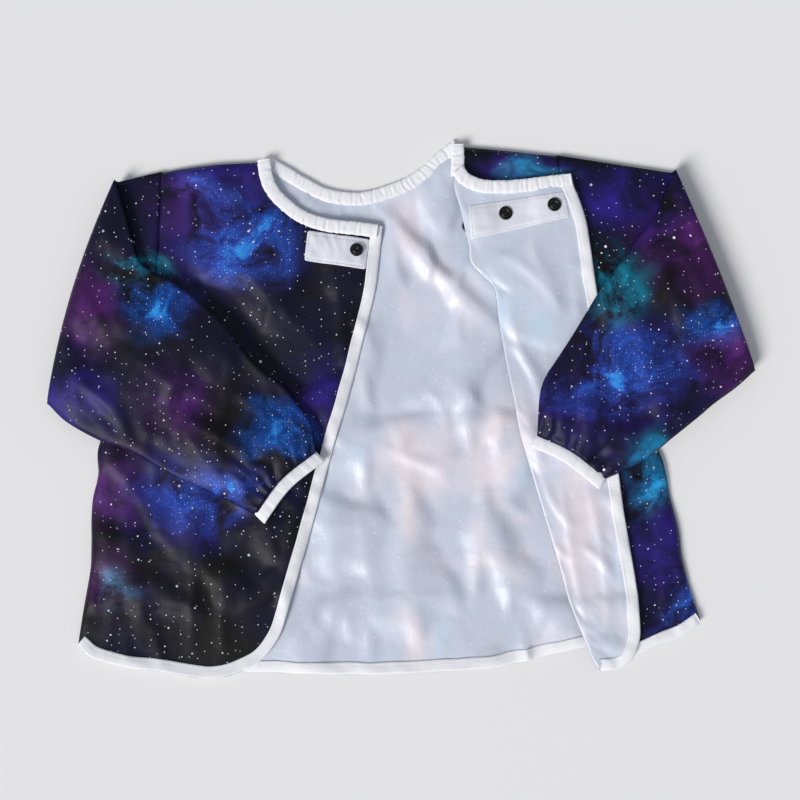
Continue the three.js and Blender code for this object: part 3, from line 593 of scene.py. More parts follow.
def sleeve(name, seam, hinge, low, high, cuff, hinge_z, bulge, arm_low, loft, wrinkles, left, seed):
    """A sleeve as one tube: from the armhole out to the fold, round it, and back to the cuff."""
    across = 44
    fold_line = even(hinge, across)
    seam_line = smooth(seam[::-1], across)
    low_line = smooth(low)
    high_line = smooth(high, len(low_line))
    cuff_line = smooth(cuff, across)
    arm = net(fold_line, cuff_line, low_line, high_line)
    s = np.linspace(0, 1, across)
    fat = np.clip(1 - np.abs(2 * s - 1) ** 2.8, 0, 1) ** 0.62
    lip = 0.9 + 4.8 * s**4                      # thickness at the long edges, plumper on the upper one
    head_low = np.maximum(HEAD_MIDDLE - HEAD_HALF * fat, 0.5)
    head_top = HEAD_MIDDLE + HEAD_HALF * fat
    arm_top = arm_low + lip + (loft - lip) * fat
    arm_under = np.full(across, arm_low)
    way = fold_line[-1] - fold_line[0]
    outward = np.array([-way[1], way[0]]) / np.linalg.norm(way) * (1 if left else -1)
    belly = np.sin(np.pi * s) ** 0.8
    rings = []

    def ring(outer_plan, inner_plan, outer_z, inner_z):
        outer = np.column_stack([outer_plan, outer_z])
        inner = np.column_stack([inner_plan, inner_z])
        rings.append(np.vstack([outer, inner[::-1][1:-1]]))

    for share in np.linspace(0, 0.96, 12):
        plan = (1 - share) * seam_line + share * fold_line
        plump = 0.9 + 0.1 * share
        ring(plan, plan, HEAD_MIDDLE + (head_low - HEAD_MIDDLE) * plump,
             HEAD_MIDDLE + (head_top - HEAD_MIDDLE) * plump)
    for angle in np.linspace(0, math.pi, 13)[1:-1]:
        below = math.cos(angle) > 0
        outer_reach = hinge_z - head_low if below else arm_top - hinge_z
        inner_reach = hinge_z - head_top if below else arm_under - hinge_z
        swing = math.sin(angle)
        outer_plan = fold_line + outward * (swing * (1.6 + bulge * belly))[:, None]
        inner_plan = fold_line + outward * (swing * (1.1 + 0.9 * (bulge - 1.5) * belly))[:, None]
        ring(outer_plan, inner_plan, hinge_z - math.cos(angle) * outer_reach,
             hinge_z - math.cos(angle) * inner_reach)
    x = arm[..., 0]
    y = arm[..., 1]
    to_cuff = away(x, y, cuff_line)
    shape = arm_top[None, :] + wrinkles(x, y)
    shape = shape + CUFF_PUFF * np.exp(-(((to_cuff - 30) / 24) ** 2))
    round_cuff = s * run_along(cuff_line)[-1] + 0 * x
    shape = shape - CUFF_PLEAT_DEPTH * pleats(round_cuff, to_cuff, CUFF_PLEAT_PITCH, 30, seed)
    shape = shape + rumple(arm, shape, 0.05, np.exp(-to_cuff / 26), 3.0, seed)
    shape = arm_top + (shape - arm_top) * np.minimum(1.6 * fat, 1)
    shape = np.maximum(shape, arm_low + lip)
    for plan, top in zip(arm[1:], shape[1:]):
        ring(plan, plan, top, arm_under)
    count = 2 * across - 2
    faces = grid_faces(len(rings), count, closed=True)
    if left:
        faces = [face[::-1] for face in faces]
    tube = add_mesh(name, np.vstack(rings), faces)
    for face in tube.data.polygons[FOLD_RINGS[0] * count:FOLD_RINGS[1] * count]:
        face.material_index = 2
    return tube


CUFF_STEP = 1.0
CUFF_PUCKER_PITCH = 7.5
# Length of the cuff's tape from the sleeve's edge to its rim, and how far it puffs out there.
CUFF_PROFILE = [(-1.5, -0.6), (0.0, 0.1), (1.2, 0.6), (3.5, 0.8), (6.0, 0.85), (8.5, 0.75), (10.2, 0.4),
                (CUFF_TAPE, -0.3), (10.2, -1.0), (5.0, -1.3), (-1.5, -1.5)]


def cuff_band(name, cuff, low, seed, outward):
    """Cuff tape with its elastic inside: a flattened ring, smooth and a little puckered along the arm."""
    line = smooth(cuff, step=CUFF_STEP)
    way = line[-1] - line[0]
    out = np.array([way[1], -way[0]]) / np.linalg.norm(way) * outward
    run = run_along(line)
    s = run / run[-1]
    fat = np.clip(1 - np.abs(2 * s - 1) ** 3.2, 0, 1) ** 0.5
    rings = []
    for length, puff in CUFF_PROFILE:
        plan = line + out * length
        crease = puckers(run, length / 9 + 0 * run, CUFF_PUCKER_PITCH, seed) * (0.55 if puff > 0 else 0.0)
        top = low + 1.4 + 3.6 * fat + puff - crease
        bottom = low - 0.2 - 0.3 * puff + 0 * run
        bottom = np.minimum(bottom, top - 0.15)
        rings.append(np.vstack([np.column_stack([plan, top]), np.column_stack([plan, bottom])[::-1]]))
    faces = grid_faces(len(rings), 2 * len(line), closed=True)
    return add_mesh(name, np.vstack(rings), faces)


# --- shading
def linear(hex_colour):
    """sRGB hex to linear RGBA."""
    channels = [int(hex_colour[i:i + 2], 16) / 255 for i in (1, 3, 5)]
    return tuple(c / 12.92 if c <= 0.04045 else ((c + 0.055) / 1.055) ** 2.4 for c in channels) + (1.0,)


def node(tree, kind, settings=None, **sockets):
    """Add one node with its settings, and fill or link its sockets: by name, or i0, i1 by number.
    A node given as a value is linked from its first active output."""
    made = tree.nodes.new(kind)
    for name, value in (settings or {}).items():
        setattr(made, name, value)
    for name, value in sockets.items():
        if name[0] == "i" and name[1:].isdigit():
            socket = made.inputs[int(name[1:])]
        else:
            socket = next(s for s in made.inputs if s.name == name.replace("_", " ") and s.enabled)
        if isinstance(value, bpy.types.Node):
            value = next(s for s in value.outputs if s.enabled)
        if isinstance(value, bpy.types.NodeSocket):
            tree.links.new(value, socket)
        else:
            socket.default_value = value
    return made


def new_material(name, **surface):
    material = bpy.data.materials.new(name)
    material.use_nodes = True
    tree = material.node_tree
    shader = tree.nodes["Principled BSDF"]
    for key, value in surface.items():
        shader.inputs[key.replace("_", " ")].default_value = value
    where = node(tree, "ShaderNodeAttribute", {"attribute_name": CLOTH_PLACE}).outputs["Vector"]
    return material, tree, shader, where


def lay_on(tree, shader, socket, made):
    """Link a finished colour or normal into the surface."""
    tree.links.new(next(s for s in made.outputs if s.enabled), shader.inputs[socket])


def plain_weave(tree, where, pitch_mm):
    """Over-and-under of a plain weave; real threads are finer, drawn coarser so that they show."""
    size = 1000 / pitch_mm / 20
    warp = node(tree, "ShaderNodeTexWave", {"bands_direction": "X"}, Vector=where, Scale=size)
    weft = node(tree, "ShaderNodeTexWave", {"bands_direction": "Y"}, Vector=where, Scale=size)
    return node(tree, "ShaderNodeMath", {"operation": "MULTIPLY"}, i0=warp, i1=weft)


def creased_weave(tree, shader, where, crease_mm, crease_depth_mm, pitch_mm, thread_depth_mm):
    """Soft small creases with the weave on top of them."""
    soft = node(tree, "ShaderNodeTexNoise", Vector=where, Scale=1000 / crease_mm, Detail=3.0, Roughness=0.5)
    creases = node(tree, "ShaderNodeBump", Height=soft, Distance=crease_depth_mm * MM, Strength=0.6)
    threads = node(tree, "ShaderNodeBump", Height=plain_weave(tree, where, pitch_mm),
                   Distance=thread_depth_mm * MM, Strength=0.5, Normal=creases)
    lay_on(tree, shader, "Normal", threads)


SOFT_STEP = {"interpolation_type": "SMOOTHSTEP"}
COLOURS = {"data_type": "RGBA"}


def stars(tree, where, spacing_mm, radius_mm, shown):
    """Round dots about spacing_mm apart, each with its own brightness; shown is the share kept."""
    cells = node(tree, "ShaderNodeTexVoronoi", {"voronoi_dimensions": "2D"}, Vector=where,
                 Scale=1000 / spacing_mm, Randomness=1.0)
    dot = node(tree, "ShaderNodeMapRange", Value=cells, From_Min=0.45 * radius_mm / spacing_mm,
               From_Max=radius_mm / spacing_mm, To_Min=1.0, To_Max=0.0)
    lot = node(tree, "ShaderNodeSeparateColor", Color=cells.outputs["Color"])
    kept = node(tree, "ShaderNodeMapRange", Value=lot, From_Min=1 - shown, From_Max=1.0, To_Min=0.0,
                To_Max=1.6)
    return node(tree, "ShaderNodeMath", {"operation": "MULTIPLY"}, i0=dot, i1=kept)


def cloud(tree, where, dust, x_mm, y_mm, wide_mm, tall_mm):
    """Soft oval of printed cloud broken up by dust."""
    moved = node(tree, "ShaderNodeMapping", {"vector_type": "TEXTURE"}, Vector=where,
                 Location=(x_mm * MM, y_mm * MM, 0.0), Scale=(wide_mm * MM, tall_mm * MM, 10.0))
    far = node(tree, "ShaderNodeVectorMath", {"operation": "LENGTH"}, Vector=moved)
    soft = node(tree, "ShaderNodeMapRange", SOFT_STEP, Value=far.outputs["Value"], From_Min=0.0,
                From_Max=1.25, To_Min=1.0, To_Max=0.0)
    return node(tree, "ShaderNodeMath", {"operation": "MULTIPLY"}, i0=soft, i1=dust)


def cloud_family(tree, where, dust, ovals):
    """Share of one tint over the cloth: wherever one of its clouds lies."""
    total = cloud(tree, where, dust, *ovals[0])
    for oval in ovals[1:]:
        one = cloud(tree, where, dust, *oval)
        total = node(tree, "ShaderNodeMath", {"operation": "MAXIMUM"}, i0=total, i1=one)
    return total


# Where the clouds of the print fall on the garment: middle and half size of each.
BLUE_CLOUDS = [(-136, 156, 58, 48), (-172, -76, 60, 34), (192, 32, 66, 44), (268, 78, 34, 30),
               (-104, -22, 34, 26), (222, -62, 26, 24), (-214, 96, 44, 30), (248, -175, 24, 30),
               (-170, 190, 40, 20)]
VIOLET_CLOUDS = [(-160, 205, 80, 34), (-62, 10, 44, 40), (190, 20, 100, 80), (-150, 150, 80, 60),
                 (-180, -80, 90, 50), (240, -130, 56, 80), (200, 190, 80, 40), (-290, 10, 44, 60),
                 (120, 222, 60, 22)]
PLUM_CLOUDS = [(-192, 12, 44, 40), (-262, -62, 36, 44), (-276, 92, 34, 50), (-262, -150, 40, 36),
               (250, 150, 46, 46), (286, 40, 40, 40), (-190, 186, 40, 22)]
TEAL_CLOUDS = [(-232, 126, 30, 20), (186, 104, 36, 40), (124, 221, 30, 13), (226, -62, 28, 36),
               (-250, -158, 20, 26)]
STIRRED_MM = 75                                # how far apart the stirring can pull the clouds
# Layers of stars: how far apart, their radius and the share shown.
STAR_LAYERS = ((7.0, 0.5, 0.35), (14.0, 0.65, 0.35), (26.0, 0.9, 0.4), (62.0, 1.4, 0.4))


def night_sky(tree, where):
    """Print: near-black and deep violet, blue, teal and violet clouds full of dust, crisp stars."""
    stir = node(tree, "ShaderNodeTexNoise", Vector=where, Scale=1000 / 62, Detail=2.0)
    around_zero = node(tree, "ShaderNodeVectorMath", {"operation": "SUBTRACT"}, i0=stir.outputs["Color"],
                       i1=(0.5, 0.5, 0.5))
    drift = node(tree, "ShaderNodeVectorMath", {"operation": "MULTIPLY_ADD"}, i0=around_zero,
                 i1=(STIRRED_MM * MM, STIRRED_MM * MM, 0.0), i2=where)
    broad = node(tree, "ShaderNodeTexNoise", Vector=drift, Scale=1000 / 95, Detail=4.0, Roughness=0.55)
    wisps = node(tree, "ShaderNodeTexNoise", Vector=drift, Scale=1000 / 34, Detail=9.0, Roughness=0.66)
    dusty = node(tree, "ShaderNodeMapRange", SOFT_STEP, Value=wisps, From_Min=0.36, From_Max=0.66)
    hazy = node(tree, "ShaderNodeMapRange", SOFT_STEP, Value=wisps, From_Min=0.28, From_Max=0.72)
    deep = node(tree, "ShaderNodeMapRange", SOFT_STEP, Value=broad, From_Min=0.40, From_Max=0.62)
    colour = node(tree, "ShaderNodeMix", COLOURS, Factor=deep, A=linear("#050407"), B=linear("#0E0A28"))
    families = ((VIOLET_CLOUDS, hazy, "#2F1A88"), (PLUM_CLOUDS, hazy, "#5A1F74"),
                (TEAL_CLOUDS, dusty, "#08A5C8"), (BLUE_CLOUDS, dusty, "#0662D2"))
    for ovals, dust, tint in families:
        share = cloud_family(tree, drift, dust, ovals)
        colour = node(tree, "ShaderNodeMix", COLOURS | {"blend_type": "SCREEN"}, Factor=share, A=colour,
                      B=linear(tint))
    blue = share
    bright = node(tree, "ShaderNodeMapRange", SOFT_STEP, Value=blue, From_Min=0.45, From_Max=1.0,
                  To_Max=0.75)
    colour = node(tree, "ShaderNodeMix", COLOURS, Factor=bright, A=colour, B=linear("#2FA6F2"))
    faint = node(tree, "ShaderNodeMath", {"operation": "MULTIPLY"}, i0=stars(tree, where, 2.8, 0.6, 0.5),
                 i1=blue)
    colour = node(tree, "ShaderNodeMix", COLOURS, Factor=faint, A=colour, B=linear("#9DB4F5"))
    sky = stars(tree, where, *STAR_LAYERS[0])
    for layer in STAR_LAYERS[1:]:
        sky = node(tree, "ShaderNodeMath", {"operation": "MAXIMUM"}, i0=sky,
                   i1=stars(tree, where, *layer))
    return node(tree, "ShaderNodeMix", COLOURS | {"clamp_factor": True}, Factor=sky, A=colour,
                B=linear("#F2F5FF"))


def printed_polyester():
    """Tight plain-weave polyester, transfer printed: a dark starry print with a dull satin shine along
    the folds."""
    material, tree, shader, where = new_material(
        "printed_polyester", Roughness=0.5, IOR=1.45, Specular_IOR_Level=0.27)
    lay_on(tree, shader, "Base Color", night_sky(tree, where))
    creased_weave(tree, shader, where, 14, 0.9, 0.9, 0.04)
    return material


def coated_lining():
    """Back of the same cloth with its thin white waterproof film: pale blue-lilac and satiny.  The lighter
    drifting tints are partly the print showing through and partly painted satin sheen; the specks are the
    print's stars showing through."""
    material, tree, shader, where = new_material(
        "coated_lining", Roughness=0.4, IOR=1.5, Coat_Weight=0.1, Coat_Roughness=0.36)
    stretched = node(tree, "ShaderNodeMapping", Vector=where, Scale=(1.0, 0.55, 1.0))
    drift = node(tree, "ShaderNodeTexNoise", Vector=stretched, Scale=1000 / 62, Detail=2.5, Roughness=0.5)
    cooler = node(tree, "ShaderNodeTexNoise", Vector=where, Scale=1000 / 110, Detail=3.0, Roughness=0.6)
    # Lighter drifting tints: partly the print behind the film, partly painted satin sheen.
    tint = node(tree, "ShaderNodeValToRGB", Fac=drift)
    ramp = tint.color_ramp
    ramp.elements[0].position = 0.38
    ramp.elements[0].color = linear("#CBDFF2")
    ramp.elements.new(0.5).color = linear("#DCDEEE")
    ramp.elements[-1].position = 0.62
    ramp.elements[-1].color = linear("#ECE3EB")
    # Where the tints show: partly ghost of the print, partly painted satin sheen.
    ghost_and_sheen_share = node(tree, "ShaderNodeMapRange", SOFT_STEP, Value=cooler, From_Min=0.42, From_Max=0.62)
    base = node(tree, "ShaderNodeMix", COLOURS, Factor=ghost_and_sheen_share, A=linear("#CCD3E3"), B=tint)
    specks = node(tree, "ShaderNodeMath", {"operation": "MULTIPLY"},
                  i0=stars(tree, where, 11, 0.95, 0.5), i1=0.55)
    base = node(tree, "ShaderNodeMix", COLOURS, Factor=specks, A=base, B=linear("#F4F6FF"))
    lay_on(tree, shader, "Base Color", base)
    creased_weave(tree, shader, where, 13, 1.0, 0.9, 0.02)
    return material


def white_tape():
    """Bias-cut polycotton tape: matt white, a fine diagonal rib and little puckers where it is stitched."""
    material, tree, shader, where = new_material(
        "white_tape", Base_Color=linear("#F1F2F7"), Roughness=0.82, IOR=1.5, Sheen_Weight=0.15,
        Sheen_Roughness=0.5)
    turned = node(tree, "ShaderNodeMapping", Vector=where, Rotation=(0, 0, math.radians(45)))
    creased_weave(tree, shader, turned, 5, 0.35, 0.8, 0.05)
    return material


def patch_cloth():
    """Plain white woven backing behind the snaps: cool white, flat, faint weave."""
    material, tree, shader, where = new_material(
        "patch_cloth", Base_Color=linear("#E2E5EE"), Roughness=0.8, IOR=1.5, Sheen_Weight=0.1)
    creased_weave(tree, shader, where, 16, 0.5, 1.0, 0.07)
    return material


def snap_plastic():
    """Injection-moulded black acetal: near-black, smooth with a soft gloss."""
    return new_material("snap_plastic", Base_Color=linear("#0B0B0E"), Roughness=0.3, IOR=1.48)[0]


def thread():
    """White spun polyester sewing thread: matt, slightly fuzzy."""
    return new_material("sewing_thread", Base_Color=linear("#F0F0F4"), Roughness=0.85, IOR=1.5,
                        Sheen_Weight=0.4)[0]


PRINT = printed_polyester()
LINING = coated_lining()
TAPE = white_tape()
PATCH = patch_cloth()
SNAP = snap_plastic()
THREAD = thread()


# --- body panels
def side_path(*parts):
    return smooth(np.vstack([parts[0]] + [p[1:] for p in parts[1:]]))


LEFT_PANEL_RIM = points((-122, -230), (-15, 165))   # straight line near the left panel's free edge
RIM_FADE = 24
RIM_MARGIN = 8
FRONT_CEILING = 7.4
LEFT_CEILING = 10.6
RIGHT_SIDE_CEILING = 9.4
FLAP_CEILING = 14.7                            # where the right sleeve lies on it
FLAP_OPEN_RISE = 2.6                           # how much higher it may rise in the open
LAYER_GAP = 1.1                                # cloth to the cloth that lies on it


def in_the_open(x, y):
    """0 where the front lies under the left panel, 1 where nothing lies on it."""
    rim = np.interp(y, LEFT_PANEL_RIM[:, 1], LEFT_PANEL_RIM[:, 0])
    return np.clip((x - rim - RIM_MARGIN) / RIM_FADE, 0, 1)


def front_cloth():
    left = side_path(LEFT_SIDE[::-1], LEFT_ARMHOLE[::-1])
    right = smooth(np.vstack([RIGHT_SIDE[::-1], RIGHT_ARMHOLE[::-1][1:]]), len(left))
    top = np.vstack([smooth(LEFT_SHOULDER[::-1], 30), smooth(FRONT_NECKLINE, 64)[1:],
                     smooth(RIGHT_SHOULDER, 30)[1:]])
    grid = net(smooth(FRONT_HEM, len(top)), top, left, right)
    x = grid[..., 0]
    y = grid[..., 1]
    z = front_height(x, y)
    crumple = rumple(grid, z, 0.045, np.exp(-away(x, y, FRONT_NECKLINE) / 30), 3.4, 1)
    z = z + crumple * (0.25 + 0.75 * in_the_open(x, y))
    z = np.maximum(kept_under(z, FRONT_CEILING), 0.45)
    piece = cloth_from_net("front_cloth", grid, z)
    finish_cloth(piece, LINING, PRINT, rim=1)
    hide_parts("front_panel")
    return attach(piece, "garment")


def left_back_cloth(front):
    left = side_path(LEFT_SIDE[::-1], LEFT_ARMHOLE[::-1])
    right = smooth(LEFT_EDGE, len(left))
    top = np.vstack([smooth(LEFT_SHOULDER[::-1] + np.array([0, -1.5]), 32),
                     smooth(LEFT_NECKLINE, 50)[1:]])
    top[0], top[-1] = left[-1], right[-1]
    grid = net(smooth(LEFT_HEM, len(top)), top, left, right)
    x = grid[..., 0]
    y = grid[..., 1]
    z = left_height(x, y)
    z = z + rumple(grid, z, 0.04, np.exp(-away(x, y, LEFT_NECKLINE) / 24), 2.2, 2)
    z = sewn_down(kept_under(z, LEFT_CEILING), x, y, LEFT_SIDE, LEFT_SHOULDER)
    z = np.maximum(z, surface_of(front)(x, y) + LAYER_GAP)
    piece = cloth_from_net("left_back_cloth", grid, z)
    finish_cloth(piece, PRINT, LINING)
    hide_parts("left_back_side", "left_back_panel")
    return piece


def bend_at_left_hinge(piece):
    """For what belongs to the left panel: bakes the piece's placement into its mesh, with no bend at the
    hinge.
    """
    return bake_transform(piece)


def bend_between(piece):
    """For a piece that is folded over on itself: bakes the piece's placement into its mesh, with no bend at
    the hinge.
    """
    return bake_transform(piece)


def right_side_cloth(front):
    left = smooth(np.vstack([points((174, -226)), FOLD_LINE[::-1][2:-2] + np.array([1.5, 0]),
                             points((54, 205), (53, 222), RIGHT_NECK)]))
    right = smooth(np.vstack([RIGHT_SIDE[::-1], RIGHT_ARMHOLE[::-1][1:]]), len(left))
    top = smooth(RIGHT_SHOULDER + np.array([0, -1.0]), 40)
    top[0], top[-1] = left[-1], right[-1]
    grid = net(smooth(RIGHT_SIDE_HEM, 40), top, left, right)
    x = grid[..., 0]
    y = grid[..., 1]
    z = right_side_height(x, y)
    z = z + rumple(grid, z, 0.04, 0.0, 1.6, 3)
    z = sewn_down(kept_under(z, RIGHT_SIDE_CEILING), x, y, RIGHT_SIDE, RIGHT_SHOULDER)
    z = np.maximum(z, surface_of(front)(x, y) + LAYER_GAP)
    piece = cloth_from_net("right_side_cloth", grid, z)
    finish_cloth(piece, PRINT, LINING)
    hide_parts("right_back_side")
    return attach(piece, "garment")


STRIP_INSETS = (6.0, 3.5, 1.5)                 # the strip under the fold, in from it
ROLL_OUT = 1.3                                 # how far the roll stands out past the fold line
ROLL_PRINTED = 7                               # columns of strip and roll that are printed on both sides


def right_flap_cloth():
    """The turned-back panel, with the cloth that rolls round the fold and a strip of the layer beneath."""
    turn = smooth(FOLD_LINE)
    rows = len(turn)
    edge = smooth(FLAP_EDGE[::-1], rows)
    columns = 34
    neck = smooth(FLAP_NECKLINE, columns)
    neck[0], neck[-1] = turn[0], edge[0]
    hem = even(np.vstack([turn[-1], edge[-1]]), columns)
    grid = net(neck, hem, turn, edge)
    x = grid[..., 0]
    y = grid[..., 1]
    flat = flap_height(x, y)
    flat = flat + rumple(grid, flat, 0.05, np.exp(-away(x, y, FLAP_NECKLINE) / 22), 1.5, 4)
    ceiling = FLAP_CEILING + FLAP_OPEN_RISE * clear_of_sleeve(x, y)
    flat = np.maximum(kept_under(flat, ceiling), HINGE_FLAP_Z + FLAP_REACH + 0.2)
    side = sides_of(turn)
    under_z = BACK_Z - 0.9
    rolled = [turn + side * inward for inward in STRIP_INSETS]
    heights = [np.full(rows, under_z)] * len(STRIP_INSETS)
    middle = (flat[:, 0] + under_z) / 2
    half = (flat[:, 0] - under_z) / 2
    for angle in np.linspace(0, math.pi, 9)[1:-1]:
        rolled.append(turn - side * (ROLL_OUT * math.sin(angle)))
        heights.append(middle - half * math.cos(angle))
    plan = np.concatenate([np.stack(rolled, axis=1), grid], axis=1)
    z = np.concatenate([np.stack(heights, axis=1), flat], axis=1)
    piece = cloth_from_net("right_flap_cloth", plan, z)
    finish_cloth(piece, PRINT, LINING)
    piece.data.materials.append(PRINT)
    across = plan.shape[1] - 1
    for face in piece.data.polygons:
        if face.index % across < ROLL_PRINTED:
            face.material_index = 2
    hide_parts("right_back_panel")
    return piece


# --- sleeves
def left_sleeve_wrinkles(x, y):
    z = 0.9 * swell(x, y, 55, 81) + 0.25 * swell(x, y, 17, 82)
    return z + folds(x, y, [
        ((-240, 150), (-285, 60), 2.2, 9, 5),
        ((-225, 118), (-300, 20), 2.0, 9, -4),
        ((-205, 105), (-262, -12), 2.2, 8, 5),
        ((-178, 88), (-215, -38), 1.9, 8, -4),
        ((-150, 62), (-172, -62), 1.9, 8, 4),
        ((-250, 60), (-160, 0), 1.7, 8, -5),
        ((-210, 0), (-130, -45), 1.6, 7, 4),
        ((-150, 20), (-100, -20), 1.6, 7, -3),
        ((-302, 40), (-240, -25), 1.8, 8, 4),
        ((-262, 170), (-280, 110), 1.5, 7, 2),
    ])


def right_sleeve_wrinkles(x, y):
    z = 0.9 * swell(x, y, 55, 91) + 0.25 * swell(x, y, 17, 92)
    return z + folds(x, y, [
        ((236, 180), (292, 70), 2.1, 9, -5),
        ((222, 150), (262, 30), 2.0, 9, 4),
        ((200, 128), (235, -10), 2.0, 8, -4),
        ((178, 92), (205, -40), 1.9, 8, 4),
        ((158, 62), (172, -40), 1.8, 7, -3),
        ((250, 120), (170, 30), 1.5, 8, 5),
        ((300, 50), (215, 0), 1.7, 8, -4),
        ((228, 60), (150, 0), 1.5, 7, 4),
        ((140, 30), (140, -20), 1.4, 6, 2),
    ])


def finish_sleeve(piece, head, arm):
    for material in (PRINT, LINING, PRINT):
        piece.data.materials.append(material)
    thicken(piece, 0.3)
    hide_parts(head, arm)
    return bend_between(piece)


def left_sleeve_cloth():
    piece = sleeve("left_sleeve_cloth", LEFT_ARMHOLE, LEFT_SLEEVE_FOLD, LEFT_SLEEVE_LOW, LEFT_SLEEVE_HIGH,
                   LEFT_CUFF, HINGE_LEFT_SLEEVE_Z, 8.0, LEFT_ARM_LOW, 8.2, left_sleeve_wrinkles, True, 71)
    return finish_sleeve(piece, "left_sleeve_head", "left_sleeve")


def right_sleeve_cloth():
    piece = sleeve("right_sleeve_cloth", RIGHT_ARMHOLE, RIGHT_SLEEVE_FOLD, RIGHT_SLEEVE_LOW,
                   RIGHT_SLEEVE_HIGH, RIGHT_CUFF, HINGE_RIGHT_SLEEVE_Z, 3.0, RIGHT_ARM_LOW, 8.0,
                   right_sleeve_wrinkles, False, 72)
    return finish_sleeve(piece, "right_sleeve_head", "right_sleeve")


# --- trims
STITCH_INSET = 9.0                             # row of stitches in from the taped edge
LEFT_RIM = np.vstack([LEFT_HEM, LEFT_EDGE[1:]])
RIGHT_SHOULDER_END = points(RIGHT_NECK, (52.5, 222), (52, 208))
# Middle height of each length of neck tunnel.
FRONT_NECK_Z = 2.9
LEFT_NECK_Z = 8.8
RIGHT_SHOULDER_Z = 8.4
FLAP_NECK_Z = 13.4


def inset(path):
    fine = smooth(path)
    return fine + sides_of(fine) * STITCH_INSET


def sew_on(piece, material, body, *stands_for):
    """Fixes a tape or thread to its body; with no body its placement is only baked into its mesh."""
    piece.data.materials.append(material)
    if stands_for:
        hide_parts(*stands_for)
    if body:
        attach(piece, body)
    else:
        bend_at_left_hinge(piece)


def bind_edges(front_top, left_top, side_top, flap_top):
    sew_on(tape_along("front_hem_tape", FRONT_HEM, front_top, 1), TAPE, "garment", "front_hem_binding")
    sew_on(tape_along("left_edge_tape", LEFT_RIM, left_top, 2), TAPE, None,
           "left_side_hem_binding", "left_edge_binding")
    sew_on(tape_along("right_edge_tape", FLAP_EDGE, flap_top, 3), TAPE, "right_back", "right_edge_binding")
    sew_on(tape_along("right_hem_tape", RIGHT_SIDE_HEM, side_top, 4), TAPE, "garment",
           "right_side_hem_binding")


def gather_neck():
    """Neck tunnels, each in place of the CAD's casing and the elastic in it."""
    lengths = (
        ("front_neck", FRONT_NECKLINE, FRONT_NECK_Z, "garment", ["front_neck"]),
        ("left_neck", LEFT_NECKLINE, LEFT_NECK_Z, None, ["left_neck", "left_shoulder"]),
        ("right_shoulder", RIGHT_SHOULDER_END, RIGHT_SHOULDER_Z, "garment", ["right_shoulder"]),
        ("right_neck", FLAP_NECKLINE, FLAP_NECK_Z, "right_back", ["right_neck"]),
    )
    for seed, (name, path, level, body, places) in enumerate(lengths, start=5):
        tunnel = gathered_tape(f"{name}_gathers", path, level, seed)
        inner = [f"{place}_{part}" for place in places for part in ("casing", "elastic")]
        sew_on(tunnel, TAPE, body, *inner)


def gather_cuffs():
    left = cuff_band("left_cuff_gathers", LEFT_CUFF, LEFT_ARM_LOW, 9, 1)
    right = cuff_band("right_cuff_gathers", RIGHT_CUFF, RIGHT_ARM_LOW, 10, -1)
    for side, band in (("left", left), ("right", right)):
        sew_on(band, TAPE, f"{side}_arm", f"{side}_cuff_binding", f"{side}_cuff_elastic")


# --- snaps and patches
LEFT_STUD = (-38.6, 143.1)
OUTER_SOCKET = (138.2, 182.5)
INNER_SOCKET = (95.1, 175.3)
HIDDEN_SNAP = (62.5, 165.0)
HIDDEN_CAP_Z = 11.2
HIDDEN_SOCKET_Z = 6.9
HIDDEN_PATCH_Z = 6.0
LEFT_PATCH = [(-85.5, 133.5), (-30.5, 125.5), (-27, 153), (-82.5, 160.5)]
RIGHT_PATCH = [(63.5, 151.5), (152, 171.5), (147.3, 194.5), (62, 182)]
HIDDEN_PATCH = [(60, 154), (76, 158), (73, 177), (57, 173)]
PATCH_CORNER = 2.0
PATCH_THICKNESS = 0.5
PATCH_LIFT = 0.6                               # cloth to the middle of the patch on it
PATCH_STITCH_IN = 2.2                          # its row of stitches, in from its rim
SNAP_LIFT = 1.3
CAP_DROP = 3.4                                 # stud or socket to the cap on the other side of the cloth
TAPE_STITCH = 0.95                             # cloth to the thread on the tape
PATCH_STITCH = 0.95                            # and on the patch
SNAP_SEGMENTS = 56


def round_corners(x, y, half_w, half_t):
    """Pulls the corners of a centred rectangle in to a radius."""
    u = np.clip(np.abs(x) - (half_w - PATCH_CORNER), 0, PATCH_CORNER) / PATCH_CORNER
    v = np.clip(np.abs(y) - (half_t - PATCH_CORNER), 0, PATCH_CORNER) / PATCH_CORNER
    in_x = PATCH_CORNER * u * (1 - np.sqrt(1 - v**2 / 2))
    in_y = PATCH_CORNER * v * (1 - np.sqrt(1 - u**2 / 2))
    return x - np.sign(x) * in_x, y - np.sign(y) * in_y


